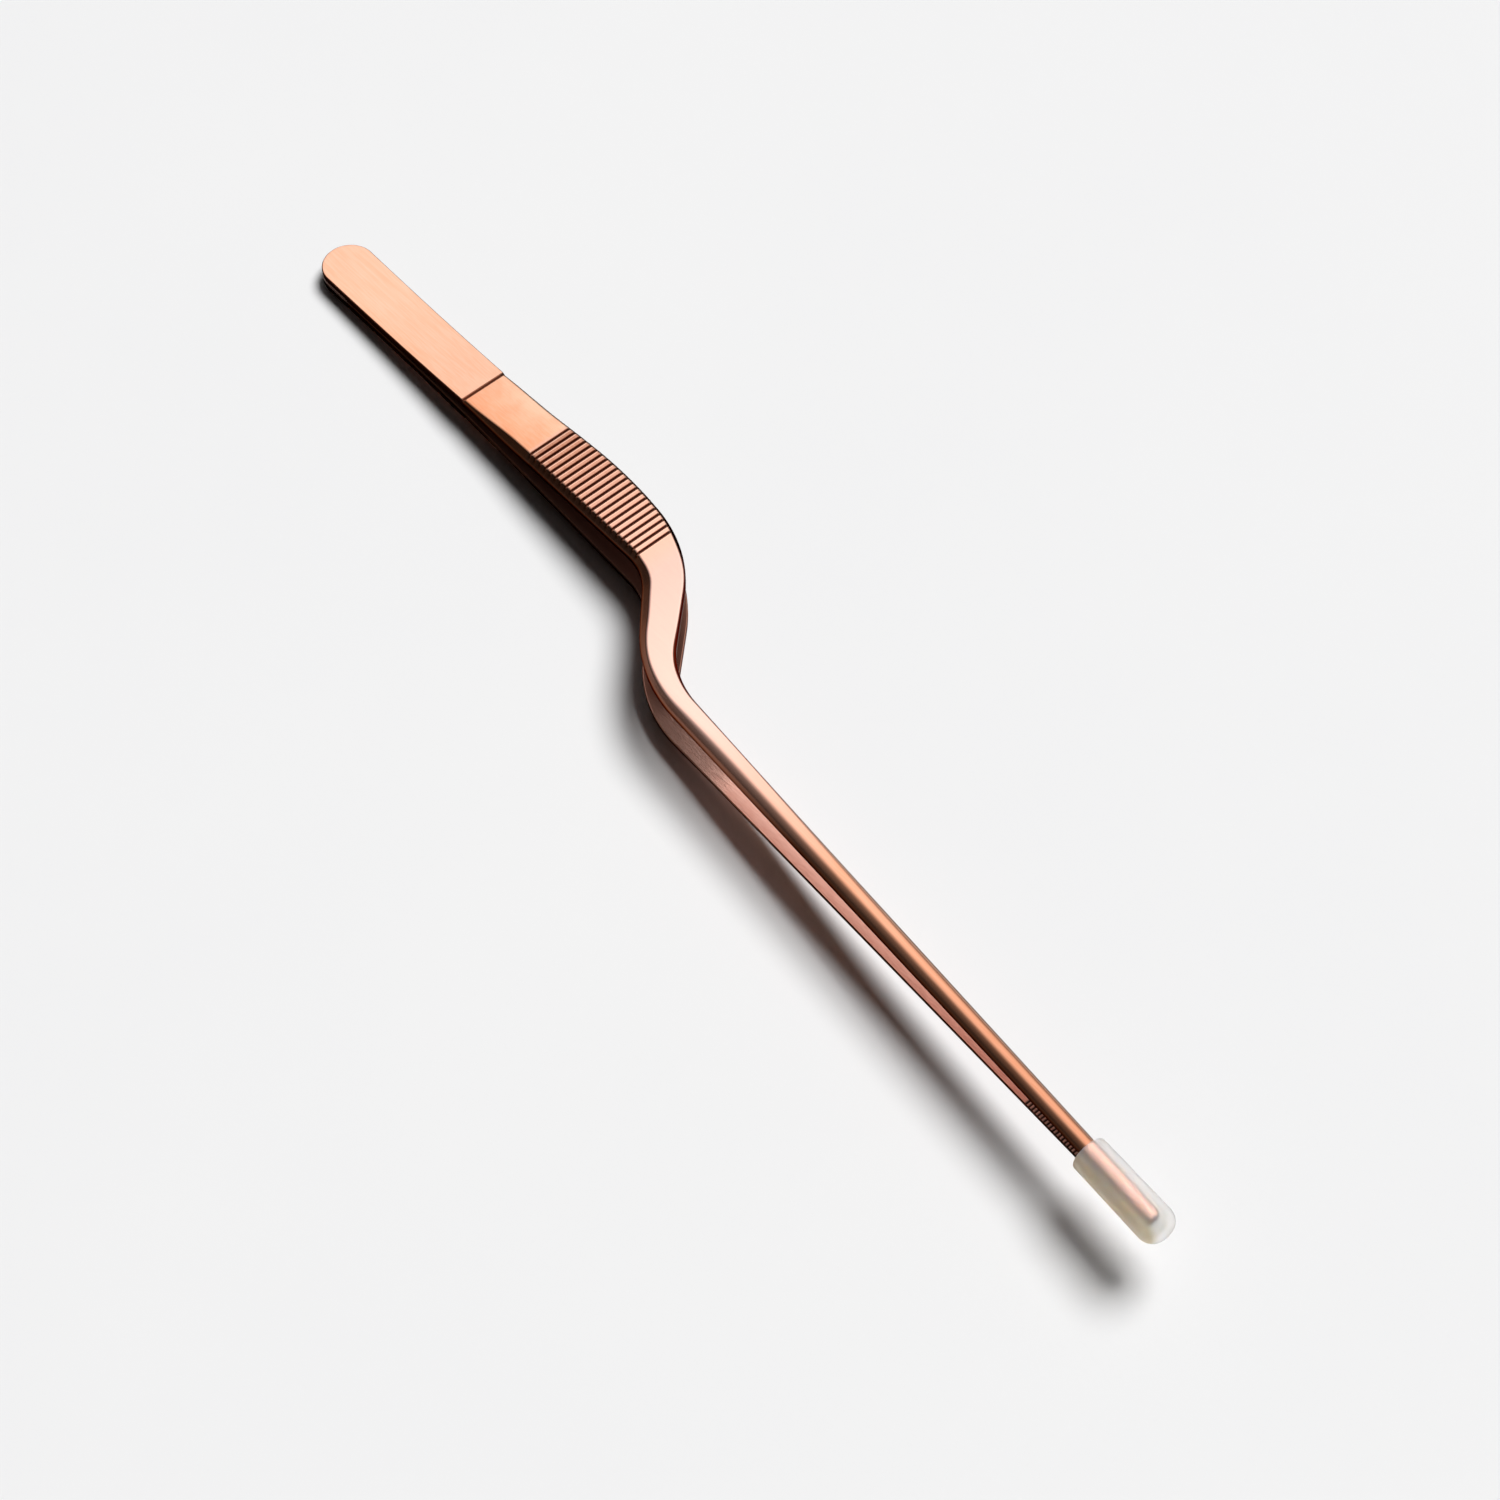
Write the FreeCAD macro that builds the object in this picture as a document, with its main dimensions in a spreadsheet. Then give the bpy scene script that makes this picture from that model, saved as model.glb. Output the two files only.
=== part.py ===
import FreeCAD, Part
import math
import os

import Sketcher

# Offset bar tongs: two mirror-image spring-steel arms, welded together at the heel, with a soft
# silicone cover pushed over both tips.  Millimetres.  The tool frame has X from heel to tips along
# the handle, Y across it and Z = 0 on the plane between the two arms.

SIZES = {
    # rear plate of each arm
    "heel_radius": 4.3,
    "plate_thickness": 1.5,
    "rear_taper": 0.33,
    "step_place": 39.0,
    "notch_width": 0.7,
    "notch_depth": 0.38,
    # grip and neck, plan view: the near edge is the one on the inside of the offset
    "near_front_length": 40.5,
    "near_front_slope": 0.95,
    "near_bend_radius": 10.9,
    "near_neck_slope": 42.0,
    "near_neck_length": 7.5,
    "near_shank_radius": 22.5,
    "near_shank_slope": 2.41,
    "near_shank_length": 100.9,
    "far_front_length": 21.0,
    "far_front_flare": 2.4,
    "far_crown_radius": 90.0,
    "far_crown_slope": 8.0,
    "far_crown_length": 0.2,
    "far_bend_radius": 26.0,
    "far_neck_slope": 47.0,
    "far_neck_length": 8.2,
    "far_shank_radius": 14.7,
    "far_shank_slope": 3.17,
    # side view: how each arm leaves the plane between them
    "weld_length": 12.0,
    "leaf_slope": 2.85,
    "leaf_bend_radius": 466.0,
    "leaf_length": 52.0,
    "crown_radius": 205.0,
    "tip_slope": 1.62,
    "arm_length": 208.7,
    "trim_margin": 2.0,
    "thicken_slope": 1.9,
    "thicken_length": 18.0,
    "outer_tip_slope": 2.03,
    "bevel_width": 0.85,
    "bevel_depth": 1.2,
    # transverse grooves of the grip and the fine teeth inside the tips
    "groove_start": 55.2,
    "groove_count": 22,
    "groove_pitch": 1.25,
    "groove_width": 0.62,
    "groove_depth": 0.38,
    "tooth_count": 40,
    "tooth_pitch": 0.6,
    "tooth_depth": 0.15,
    "tooth_end_margin": 1.5,
    # edge weld around the heel
    "seam_length": 11.0,
    "seam_width": 0.5,
    "seam_half_height": 0.4,
    # silicone cover of the tips
    "cap_mouth": 194.9,
    "cap_offset": 20.72,
    "cap_slope": 2.79,
    "cap_length": 15.6,
    "cap_mouth_radius": 2.75,
    "cap_nose_radius": 2.85,
    "cap_end_flat": 1.0,
    "cap_slot_width": 3.1,
    "cap_slot_height": 4.4,
    "cap_slot_depth": 13.8,
    "cap_slot_round": 1.0,
    "cap_mouth_round": 0.2,
    # how the tool lies: heel and grip on the table, tips in the air
    "rest_tilt": 2.475,
}

CROWN_FLATS = 4
FRAME_MARGIN = 20.0


def make_sheet(doc):
    """Write the driving dimensions, one aliased cell each."""
    sheet = doc.addObject("Spreadsheet::Sheet", "Sizes")
    for row, (alias, value) in enumerate(SIZES.items(), start=1):
        sheet.set("A%d" % row, alias)
        sheet.set("B%d" % row, str(value))
        sheet.setAlias("B%d" % row, alias)
    doc.recompute()
    return sheet


def origin_plane(body, role):
    for feature in body.Origin.OriginFeatures:
        if feature.Role == role:
            return feature
    raise RuntimeError("no origin plane " + role)


def new_sketch(body, name, role):
    sketch = body.newObject("Sketcher::SketchObject", name)
    sketch.AttachmentSupport = [(origin_plane(body, role), "")]
    sketch.MapMode = "FlatFace"
    return sketch


def bind(sketch, constraint, expression):
    """Add a dimension and tie it to an expression of the sheet."""
    index = sketch.addConstraint(constraint)
    sketch.setExpression("Constraints[%d]" % index, expression)


def cell(alias):
    return "Sizes." + alias


class Chain:
    """A run of lines and tangent arcs, drawn segment by segment, each with its own bound size."""

    START, END = 1, 2

    def __init__(self, sketch, start, heading):
        self.sketch = sketch
        self.point = FreeCAD.Vector(start[0], start[1], 0)
        self.heading = math.radians(heading)
        self.last = None
        self.last_end = None

    def _join(self, index, start_vertex, tangent):
        if self.last is None:
            return
        kind = "Tangent" if tangent else "Coincident"
        self.sketch.addConstraint(
            Sketcher.Constraint(kind, self.last, self.last_end, index, start_vertex))

    def line(self, length, length_cell=None, slope_expression=None, tangent=True):
        """A straight run along the present heading."""
        step = FreeCAD.Vector(math.cos(self.heading), math.sin(self.heading), 0) * length
        index = self.sketch.addGeometry(Part.LineSegment(self.point, self.point + step), False)
        self._join(index, self.START, tangent)
        if slope_expression is not None:
            bind(self.sketch, Sketcher.Constraint("Angle", index, self.heading), slope_expression)
        if length_cell is not None:
            bind(self.sketch, Sketcher.Constraint("Distance", index, length), length_cell)
        self.point = self.point + step
        self.last = index
        self.last_end = self.END
        return index

    def arc(self, radius, new_heading, radius_cell):
        """A tangent arc that turns the heading to new_heading."""
        target = math.radians(new_heading)
        side = 1 if target > self.heading else -1
        normal = FreeCAD.Vector(-math.sin(self.heading), math.cos(self.heading), 0) * side
        centre = self.point + normal * radius
        begin = self.heading - side * math.pi / 2
        finish = target - side * math.pi / 2
        circle = Part.Circle(centre, FreeCAD.Vector(0, 0, 1), radius)
        low, high = (begin, finish) if side > 0 else (finish, begin)
        index = self.sketch.addGeometry(Part.ArcOfCircle(circle, low, high), False)
        start_vertex, end_vertex = (self.START, self.END) if side > 0 else (self.END, self.START)
        self._join(index, start_vertex, True)
        if radius_cell is not None:
            bind(self.sketch, Sketcher.Constraint("Radius", index, radius), radius_cell)
        self.point = centre + FreeCAD.Vector(math.cos(finish), math.sin(finish), 0) * radius
        self.heading = target
        self.last = index
        self.last_end = end_vertex
        return index

    def flats(self, radius, turn_from, turn_to, radius_expression):
        """A wide bend pressed as a few equal flats, the chords of its arc."""
        turn = math.radians(SIZES[turn_from] + SIZES[turn_to])
        part_turn = turn / CROWN_FLATS
        whole_turn = "(%s + %s)" % (cell(turn_from), cell(turn_to))
        length = "2 * (%s) * sin(%s * 1 deg / %d)" % (radius_expression, whole_turn, 2 * CROWN_FLATS)
        first_heading = math.radians(SIZES[turn_from])
        for number in range(CROWN_FLATS):
            share = (number + 0.5) / CROWN_FLATS
            self.heading = first_heading - share * turn
            self.line(2 * radius * math.sin(part_turn / 2), length,
                      "(%s - %.4f * %s) * 1 deg" % (cell(turn_from), share, whole_turn), tangent=False)


def fix_point(sketch, index, vertex, x_value, x_expression, y_value, y_expression):
    bind(sketch, Sketcher.Constraint("DistanceX", -1, 1, index, vertex, x_value), x_expression)
    bind(sketch, Sketcher.Constraint("DistanceY", -1, 1, index, vertex, y_value), y_expression)


def check_solved(sketch):
    if sketch.solve() != 0:
        raise RuntimeError("sketch " + sketch.Name + " has no solution")


def plan_outline(sketch):
    """The blanked outline of one arm inside a larger frame, so that a pocket leaves the arm."""
    z = SIZES
    radius = z["heel_radius"]
    taper = math.radians(z["rear_taper"])
    far_start = (radius - radius * math.sin(-taper), radius * math.cos(taper))
    heel = sketch.addGeometry(Part.ArcOfCircle(
        Part.Circle(FreeCAD.Vector(radius, 0, 0), FreeCAD.Vector(0, 0, 1), radius),
        math.pi / 2 - taper, 3 * math.pi / 2 + taper), False)
    bind(sketch, Sketcher.Constraint("Radius", heel, radius), cell("heel_radius"))
    fix_point(sketch, heel, 3, radius, cell("heel_radius"), 0.0, "0 mm")

    far = Chain(sketch, far_start, -z["rear_taper"])
    far.last, far.last_end = heel, Chain.START
    rear_length = z["step_place"] - far_start[0]
    index = far.line(rear_length / math.cos(taper), None, "-%s * 1 deg" % cell("rear_taper"))
    bind(sketch, Sketcher.Constraint("DistanceX", -1, 1, index, 2, z["step_place"]),
         cell("step_place"))
    far.heading = math.radians(z["far_front_flare"])
    far.line(z["far_front_length"], cell("far_front_length"),
             "%s * 1 deg" % cell("far_front_flare"), tangent=False)
    far.arc(z["far_crown_radius"], -z["far_crown_slope"], cell("far_crown_radius"))
    far.line(z["far_crown_length"], cell("far_crown_length"),
             "-%s * 1 deg" % cell("far_crown_slope"))
    far.arc(z["far_bend_radius"], -z["far_neck_slope"], cell("far_bend_radius"))
    far.line(z["far_neck_length"], cell("far_neck_length"),
             "-%s * 1 deg" % cell("far_neck_slope"))
    far.arc(z["far_shank_radius"], -z["far_shank_slope"], cell("far_shank_radius"))

    near = Chain(sketch, (far_start[0], -far_start[1]), z["rear_taper"])
    near.last, near.last_end = heel, Chain.END
    index = near.line(rear_length / math.cos(taper), None, "%s * 1 deg" % cell("rear_taper"))
    bind(sketch, Sketcher.Constraint("DistanceX", -1, 1, index, 2, z["step_place"]),
         cell("step_place"))
    near.heading = -math.radians(z["near_front_slope"])
    near.line(z["near_front_length"], cell("near_front_length"),
              "-%s * 1 deg" % cell("near_front_slope"), tangent=False)
    near.arc(z["near_bend_radius"], -z["near_neck_slope"], cell("near_bend_radius"))
    near.line(z["near_neck_length"], cell("near_neck_length"),
              "-%s * 1 deg" % cell("near_neck_slope"))
    near.arc(z["near_shank_radius"], -z["near_shank_slope"], cell("near_shank_radius"))
    near.line(z["near_shank_length"], cell("near_shank_length"),
              "-%s * 1 deg" % cell("near_shank_slope"))

    # the tip's round end touches both edges of the shank, which close towards each other
    near_slope = math.radians(z["near_shank_slope"])
    far_slope = math.radians(z["far_shank_slope"])
    tip_start = near.point
    across = FreeCAD.Vector(math.sin(near_slope), math.cos(near_slope), 0)
    along = FreeCAD.Vector(math.cos(far_slope), -math.sin(far_slope), 0)
    far_normal = FreeCAD.Vector(-math.sin(far_slope), -math.cos(far_slope), 0)
    gap = (tip_start - far.point).dot(far_normal)
    tip_radius = gap / (1 - across.dot(far_normal))
    centre = tip_start + across * tip_radius
    far_length = (centre - far.point).dot(along)
    far.line(far_length, None, "-%s * 1 deg" % cell("far_shank_slope"))
    tip = sketch.addGeometry(Part.ArcOfCircle(
        Part.Circle(centre, FreeCAD.Vector(0, 0, 1), tip_radius),
        -math.pi / 2 - near_slope, math.pi / 2 - far_slope), False)
    sketch.addConstraint(Sketcher.Constraint("Tangent", near.last, 2, tip, 1))
    sketch.addConstraint(Sketcher.Constraint("Tangent", far.last, 2, tip, 2))

    low = FreeCAD.Vector(-FRAME_MARGIN, -3 * FRAME_MARGIN, 0)
    high = FreeCAD.Vector(z["arm_length"] + FRAME_MARGIN, 2 * FRAME_MARGIN, 0)
    corners = [low, FreeCAD.Vector(high.x, low.y, 0), high, FreeCAD.Vector(low.x, high.y, 0)]
    edges = [Part.LineSegment(corners[i], corners[(i + 1) % 4]) for i in range(4)]
    for index in sketch.addGeometry(edges, False):
        sketch.addConstraint(Sketcher.Constraint("Block", index))
    check_solved(sketch)


def inner_height(x):
    """Half of the gap between the arms at x, on the side-view line of the inner face."""
    z = SIZES
    slope = math.radians(z["leaf_slope"])
    tip = math.radians(z["tip_slope"])
    bend_end = z["weld_length"] + z["leaf_bend_radius"] * math.sin(slope)
    bend_rise = z["leaf_bend_radius"] * (1 - math.cos(slope))
    crown_start = bend_end + z["leaf_length"] * math.cos(slope)
    crown_base = bend_rise + z["leaf_length"] * math.sin(slope)
    crown_centre_x = crown_start + z["crown_radius"] * math.sin(slope)
    crown_centre_z = crown_base - z["crown_radius"] * math.cos(slope)
    crown_end = crown_centre_x + z["crown_radius"] * math.sin(tip)
    if x <= z["weld_length"]:
        return 0.0
    if x <= bend_end:
        run = x - z["weld_length"]
        return z["leaf_bend_radius"] - math.sqrt(z["leaf_bend_radius"] ** 2 - run ** 2)
    if x <= crown_start:
        return bend_rise + (x - bend_end) * math.tan(slope)
    if x <= crown_end:
        return crown_centre_z + math.sqrt(z["crown_radius"] ** 2 - (x - crown_centre_x) ** 2)
    crown_drop = crown_centre_z + z["crown_radius"] * math.cos(tip)
    return crown_drop - (x - crown_end) * math.tan(tip)


def outer_height(x):
    """Height of the outer face over the grip, from the inner face and the thickened leaf."""
    grip_thickness = SIZES["plate_thickness"]
    rise = SIZES["thicken_length"] * math.sin(math.radians(SIZES["thicken_slope"]))
    return inner_height(x) + grip_thickness + rise


def side_profile(sketch):
    """The formed leaf seen from the side: inner face below, outer face above."""
    z = SIZES
    slope = z["leaf_slope"]
    margin = z["trim_margin"]
    flat_run = "%s + %s" % (cell("weld_length"), cell("trim_margin"))
    full_run = "%s + %s" % (cell("arm_length"), cell("trim_margin"))
    inner = Chain(sketch, (-margin, 0), 0)
    first = inner.line(z["weld_length"] + margin, flat_run, "0 deg")
    fix_point(sketch, first, 1, -margin, "-" + cell("trim_margin"), 0.0, "0 mm")
    inner.arc(z["leaf_bend_radius"], slope, cell("leaf_bend_radius"))
    leaf_run = inner.line(z["leaf_length"], cell("leaf_length"), "%s * 1 deg" % cell("leaf_slope"))
    crown_start = inner.point
    inner.flats(z["crown_radius"], "leaf_slope", "tip_slope", cell("crown_radius"))
    inner.heading = -math.radians(z["tip_slope"])
    run = z["arm_length"] + margin - inner.point.x
    last = inner.line(run / math.cos(math.radians(z["tip_slope"])), None,
                      "-%s * 1 deg" % cell("tip_slope"), tangent=False)
    bind(sketch, Sketcher.Constraint("DistanceX", -1, 1, last, 2, z["arm_length"] + margin),
         full_run)
    inner_end = inner.point

    outer = Chain(sketch, (-margin, z["plate_thickness"]), 0)
    second = outer.line(z["weld_length"] + margin, flat_run, "0 deg")
    fix_point(sketch, second, 1, -margin, "-" + cell("trim_margin"),
              z["plate_thickness"], cell("plate_thickness"))
    outer.arc(z["leaf_bend_radius"] - z["plate_thickness"], slope,
              "%s - %s" % (cell("leaf_bend_radius"), cell("plate_thickness")))
    run = z["step_place"] - outer.point.x
    outer.line(run / math.cos(math.radians(slope)), None, "%s * 1 deg" % cell("leaf_slope"))
    bind(sketch, Sketcher.Constraint("DistanceX", -1, 1, outer.last, 2, z["step_place"]),
         cell("step_place"))

    # from the step the leaf thickens to the grip, holds over the crown and thins to the tip
    outer.heading = math.radians(slope + z["thicken_slope"])
    outer.line(z["thicken_length"], cell("thicken_length"),
               "(%s + %s) * 1 deg" % (cell("leaf_slope"), cell("thicken_slope")), tangent=False)
    outer.heading = math.radians(slope)
    along = FreeCAD.Vector(math.cos(outer.heading), math.sin(outer.heading), 0)
    run = (crown_start - outer.point).dot(along)
    outer.line(run, None, "%s * 1 deg" % cell("leaf_slope"), tangent=False)
    thickness = (outer.point - crown_start).Length
    square = sketch.addGeometry(Part.LineSegment(crown_start, outer.point), True)
    sketch.addConstraint(Sketcher.Constraint("Coincident", leaf_run, 2, square, 1))
    sketch.addConstraint(Sketcher.Constraint("Coincident", outer.last, 2, square, 2))
    sketch.addConstraint(Sketcher.Constraint("Perpendicular", leaf_run, square))
    outer.flats(z["crown_radius"] + thickness, "leaf_slope", "outer_tip_slope",
                "%s + %s + %s * sin(%s * 1 deg)" % (
                    cell("crown_radius"), cell("plate_thickness"),
                    cell("thicken_length"), cell("thicken_slope")))
    outer.heading = -math.radians(z["outer_tip_slope"])
    run = z["arm_length"] + margin - outer.point.x
    outer.line(run / math.cos(math.radians(z["outer_tip_slope"])), None,
               "-%s * 1 deg" % cell("outer_tip_slope"), tangent=False)
    bind(sketch, Sketcher.Constraint("DistanceX", -1, 1, outer.last, 2, z["arm_length"] + margin),
         full_run)

    front = sketch.addGeometry(Part.LineSegment(outer.point, inner_end), False)
    sketch.addConstraint(Sketcher.Constraint("Coincident", outer.last, 2, front, 1))
    sketch.addConstraint(Sketcher.Constraint("Coincident", last, 2, front, 2))
    back = sketch.addGeometry(Part.LineSegment(
        FreeCAD.Vector(-margin, 0, 0), FreeCAD.Vector(-margin, z["plate_thickness"], 0)), False)
    sketch.addConstraint(Sketcher.Constraint("Coincident", first, 1, back, 1))
    sketch.addConstraint(Sketcher.Constraint("Coincident", second, 1, back, 2))
    check_solved(sketch)


def blank_arm(doc):
    """Form the leaf and blank its outline, all above the plane between the arms."""
    body = doc.addObject("PartDesign::Body", "Blank")
    profile = new_sketch(body, "SideProfile", "XZ_Plane")
    side_profile(profile)
    leaf = body.newObject("PartDesign::Pad", "FormedLeaf")
    leaf.Profile = profile
    leaf.Midplane = True
    leaf.setExpression("Length", "12 * " + cell("heel_radius"))
    doc.recompute()
    outline = new_sketch(body, "PlanOutline", "XY_Plane")
    plan_outline(outline)
    blanking = body.newObject("PartDesign::Pocket", "BlankedEdge")
    blanking.Profile = outline
    blanking.Type = "ThroughAll"
    blanking.Midplane = True
    doc.recompute()
    return body


def half_of_blank(doc, blank, name, start_expression, length_expression):
    """The stretch of the blank inside a box that runs along X."""
    space = doc.addObject("Part::Box", name + "Space")
    space.setExpression("Placement.Base.x", start_expression)
    space.setExpression("Placement.Base.y", "-12 * " + cell("heel_radius"))
    space.setExpression("Placement.Base.z", "-" + cell("trim_margin"))
    space.setExpression("Length", length_expression)
    space.setExpression("Width", "24 * " + cell("heel_radius"))
    space.setExpression("Height", "12 * " + cell("heel_radius"))
    piece = doc.addObject("Part::Common", name)
    piece.Base = blank
    piece.Tool = space
    doc.recompute()
    return piece


def bevel_edges(shape):
    """Numbers of the edges between the outer face and the blanked sides."""
    numbers = []
    for number, edge in enumerate(shape.Edges, start=1):
        parameter = 0.5 * (edge.FirstParameter + edge.LastParameter)
        middle = edge.valueAt(parameter)
        crosswise = abs(edge.tangentAt(parameter).y) > 0.99 and edge.BoundBox.XLength < 0.2
        upright = edge.BoundBox.XLength < 0.05
        on_top = middle.z > inner_height(middle.x) + 0.6 * SIZES["plate_thickness"]
        if on_top and not crosswise and not upright:
            numbers.append(number)
    return numbers


def bevelled_arm(doc, blank):
    """Grind the bevels ahead of the step and leave the rear plate square-edged."""
    margin = cell("trim_margin")
    front = half_of_blank(doc, blank, "FrontLeaf", cell("step_place"),
                          "%s - %s + 2 * %s" % (cell("arm_length"), cell("step_place"), margin))
    rear = half_of_blank(doc, blank, "RearPlate", "-" + margin,
                         "%s + %s" % (cell("step_place"), margin))
    bevel = doc.addObject("Part::Chamfer", "Bevels")
    bevel.Base = front
    bevel.Edges = [(number, SIZES["bevel_width"], SIZES["bevel_depth"])
                   for number in bevel_edges(front.Shape)]
    arm = doc.addObject("Part::MultiFuse", "PlainArm")
    arm.Shapes = [bevel, rear]
    arm.Refine = True
    doc.recompute()
    return arm


def seat_sketch(sketch, x_expression, height, slope_expression):
    """Move a side-view sketch's origin onto a face and turn it along that face."""
    sketch.setExpression("AttachmentOffset.Base.x", x_expression)
    sketch.setExpression("AttachmentOffset.Base.y", "%.6f mm" % height)
    sketch.setExpression("AttachmentOffset.Rotation.Angle", slope_expression)


def cut_profile(sketch, half_top, half_bottom, depth, expressions):
    """A symmetric slot profile that starts above the face and ends below it."""
    clear = 0.5
    corners = [(-half_top, clear), (-half_bottom, -depth), (half_bottom, -depth), (half_top, clear)]
    points = [FreeCAD.Vector(x, y, 0) for x, y in corners]
    for i in range(4):
        sketch.addGeometry(Part.LineSegment(points[i], points[(i + 1) % 4]), False)
    for i in range(4):
        sketch.addConstraint(Sketcher.Constraint("Coincident", i, 2, (i + 1) % 4, 1))
    for i in range(4):
        fix_point(sketch, i, 1, corners[i][0], expressions[i][0], corners[i][1], expressions[i][1])
    check_solved(sketch)


def pocket_through(body, name, sketch):
    pocket = body.newObject("PartDesign::Pocket", name)
    pocket.Profile = sketch
    pocket.Type = "ThroughAll"
    pocket.Midplane = True
    return pocket


def pattern_along(body, name, pocket, sketch, length_expression, count_alias, backwards):
    row = body.newObject("PartDesign::LinearPattern", name)
    row.Originals = [pocket]
    row.Direction = (sketch, ["H_Axis"])
    row.Reversed = backwards
    row.setExpression("Length", length_expression)
    row.setExpression("Occurrences", cell(count_alias))
    body.Tip = row
    return row


def slot_expressions(top, bottom, depth):
    return [("-" + top, "0.5 mm"), ("-" + bottom, "-" + depth), (bottom, "-" + depth), (top, "0.5 mm")]


def finished_arm(doc, plain):
    """Cut the step's notch, the grip's grooves, the tip's teeth and the heel's weld rebate."""
    z = SIZES
    body = doc.addObject("PartDesign::Body", "ArmUpper")
    body.Label = "arm_upper"
    body.BaseFeature = plain
    doc.recompute()

    notch = new_sketch(body, "StepNotch", "XZ_Plane")
    step_top = inner_height(z["step_place"]) + z["plate_thickness"]
    seat_sketch(notch, cell("step_place"), step_top, "%s * 1 deg" % cell("leaf_slope"))
    cut_profile(notch, z["notch_width"] / 2, z["notch_width"] / 8, z["notch_depth"],
                slot_expressions(cell("notch_width") + " / 2", cell("notch_width") + " / 8",
                                 cell("notch_depth")))
    pocket_through(body, "Step", notch)
    doc.recompute()

    groove = new_sketch(body, "GrooveProfile", "XZ_Plane")
    first = z["groove_start"]
    seat_sketch(groove, cell("groove_start"), outer_height(first), "%s * 1 deg" % cell("leaf_slope"))
    cut_profile(groove, z["groove_width"] / 2, z["groove_width"] / 4, z["groove_depth"],
                slot_expressions(cell("groove_width") + " / 2", cell("groove_width") + " / 4",
                                 cell("groove_depth")))
    cut = pocket_through(body, "Groove", groove)
    pattern_along(body, "Grooves", cut, groove,
                  "(%s - 1) * %s" % (cell("groove_count"), cell("groove_pitch")), "groove_count", False)
    doc.recompute()

    tooth = new_sketch(body, "ToothProfile", "XZ_Plane")
    last = z["arm_length"] - z["tooth_end_margin"]
    seat_sketch(tooth, "%s - %s" % (cell("arm_length"), cell("tooth_end_margin")),
                inner_height(last), "180 deg - %s * 1 deg" % cell("tip_slope"))
    cut_profile(tooth, z["tooth_pitch"] / 2, z["tooth_pitch"] / 12, z["tooth_depth"],
                slot_expressions(cell("tooth_pitch") + " / 2", cell("tooth_pitch") + " / 12",
                                 cell("tooth_depth")))
    cut = pocket_through(body, "Tooth", tooth)
    pattern_along(body, "Teeth", cut, tooth,
                  "(%s - 1) * %s" % (cell("tooth_count"), cell("tooth_pitch")), "tooth_count", False)
    doc.recompute()

    rebate = new_sketch(body, "SeamRebate", "XY_Plane")
    seam_outline(rebate, z["seam_width"])
    seam = body.newObject("PartDesign::Pocket", "Rebate")
    seam.Profile = rebate
    seam.Midplane = True
    seam.setExpression("Length", "2 * " + cell("seam_half_height"))
    body.Tip = seam
    doc.recompute()
    return body


def seam_outline(sketch, outer_growth):
    """A U-shaped strip round the heel; its outer edge stands outer_growth outside the outline."""
    z = SIZES
    taper = math.radians(z["rear_taper"])
    growth = " + %s" % cell("seam_width") if outer_growth else ""
    rims = [(z["heel_radius"] + outer_growth, cell("heel_radius") + growth),
            (z["heel_radius"] - z["seam_width"], "%s - %s" % (cell("heel_radius"), cell("seam_width")))]
    centre = FreeCAD.Vector(z["heel_radius"], 0, 0)
    ends = []
    for radius, expression in rims:
        arc = sketch.addGeometry(Part.ArcOfCircle(
            Part.Circle(centre, FreeCAD.Vector(0, 0, 1), radius),
            math.pi / 2 - taper, 3 * math.pi / 2 + taper), False)
        bind(sketch, Sketcher.Constraint("Radius", arc, radius), expression)
        fix_point(sketch, arc, 3, z["heel_radius"], cell("heel_radius"), 0.0, "0 mm")
        for vertex, side in ((1, 1), (2, -1)):
            start = centre + FreeCAD.Vector(math.sin(taper), side * math.cos(taper), 0) * radius
            run = z["seam_length"] - start.x
            stop = start + FreeCAD.Vector(run, -side * run * math.tan(taper), 0)
            line = sketch.addGeometry(Part.LineSegment(start, stop), False)
            sketch.addConstraint(Sketcher.Constraint("Tangent", arc, vertex, line, 1))
            bind(sketch, Sketcher.Constraint("Angle", line, -side * taper),
                 "%s%s * 1 deg" % ("-" if side > 0 else "", cell("rear_taper")))
            bind(sketch, Sketcher.Constraint("DistanceX", -1, 1, line, 2, z["seam_length"]),
                 cell("seam_length"))
            ends.append((line, stop))
    for outer, inner in ((ends[0], ends[2]), (ends[1], ends[3])):
        cap = sketch.addGeometry(Part.LineSegment(outer[1], inner[1]), False)
        sketch.addConstraint(Sketcher.Constraint("Coincident", outer[0], 2, cap, 1))
        sketch.addConstraint(Sketcher.Constraint("Coincident", inner[0], 2, cap, 2))
    check_solved(sketch)


def heel_weld(doc):
    """The edge weld that joins the two arms round the heel, ground flush."""
    body = doc.addObject("PartDesign::Body", "HeelWeld")
    body.Label = "heel_weld"
    strip = new_sketch(body, "SeamStrip", "XY_Plane")
    seam_outline(strip, 0.0)
    bead = body.newObject("PartDesign::Pad", "Bead")
    bead.Profile = strip
    bead.Midplane = True
    bead.setExpression("Length", "2 * " + cell("seam_half_height"))
    doc.recompute()
    return body


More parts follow.
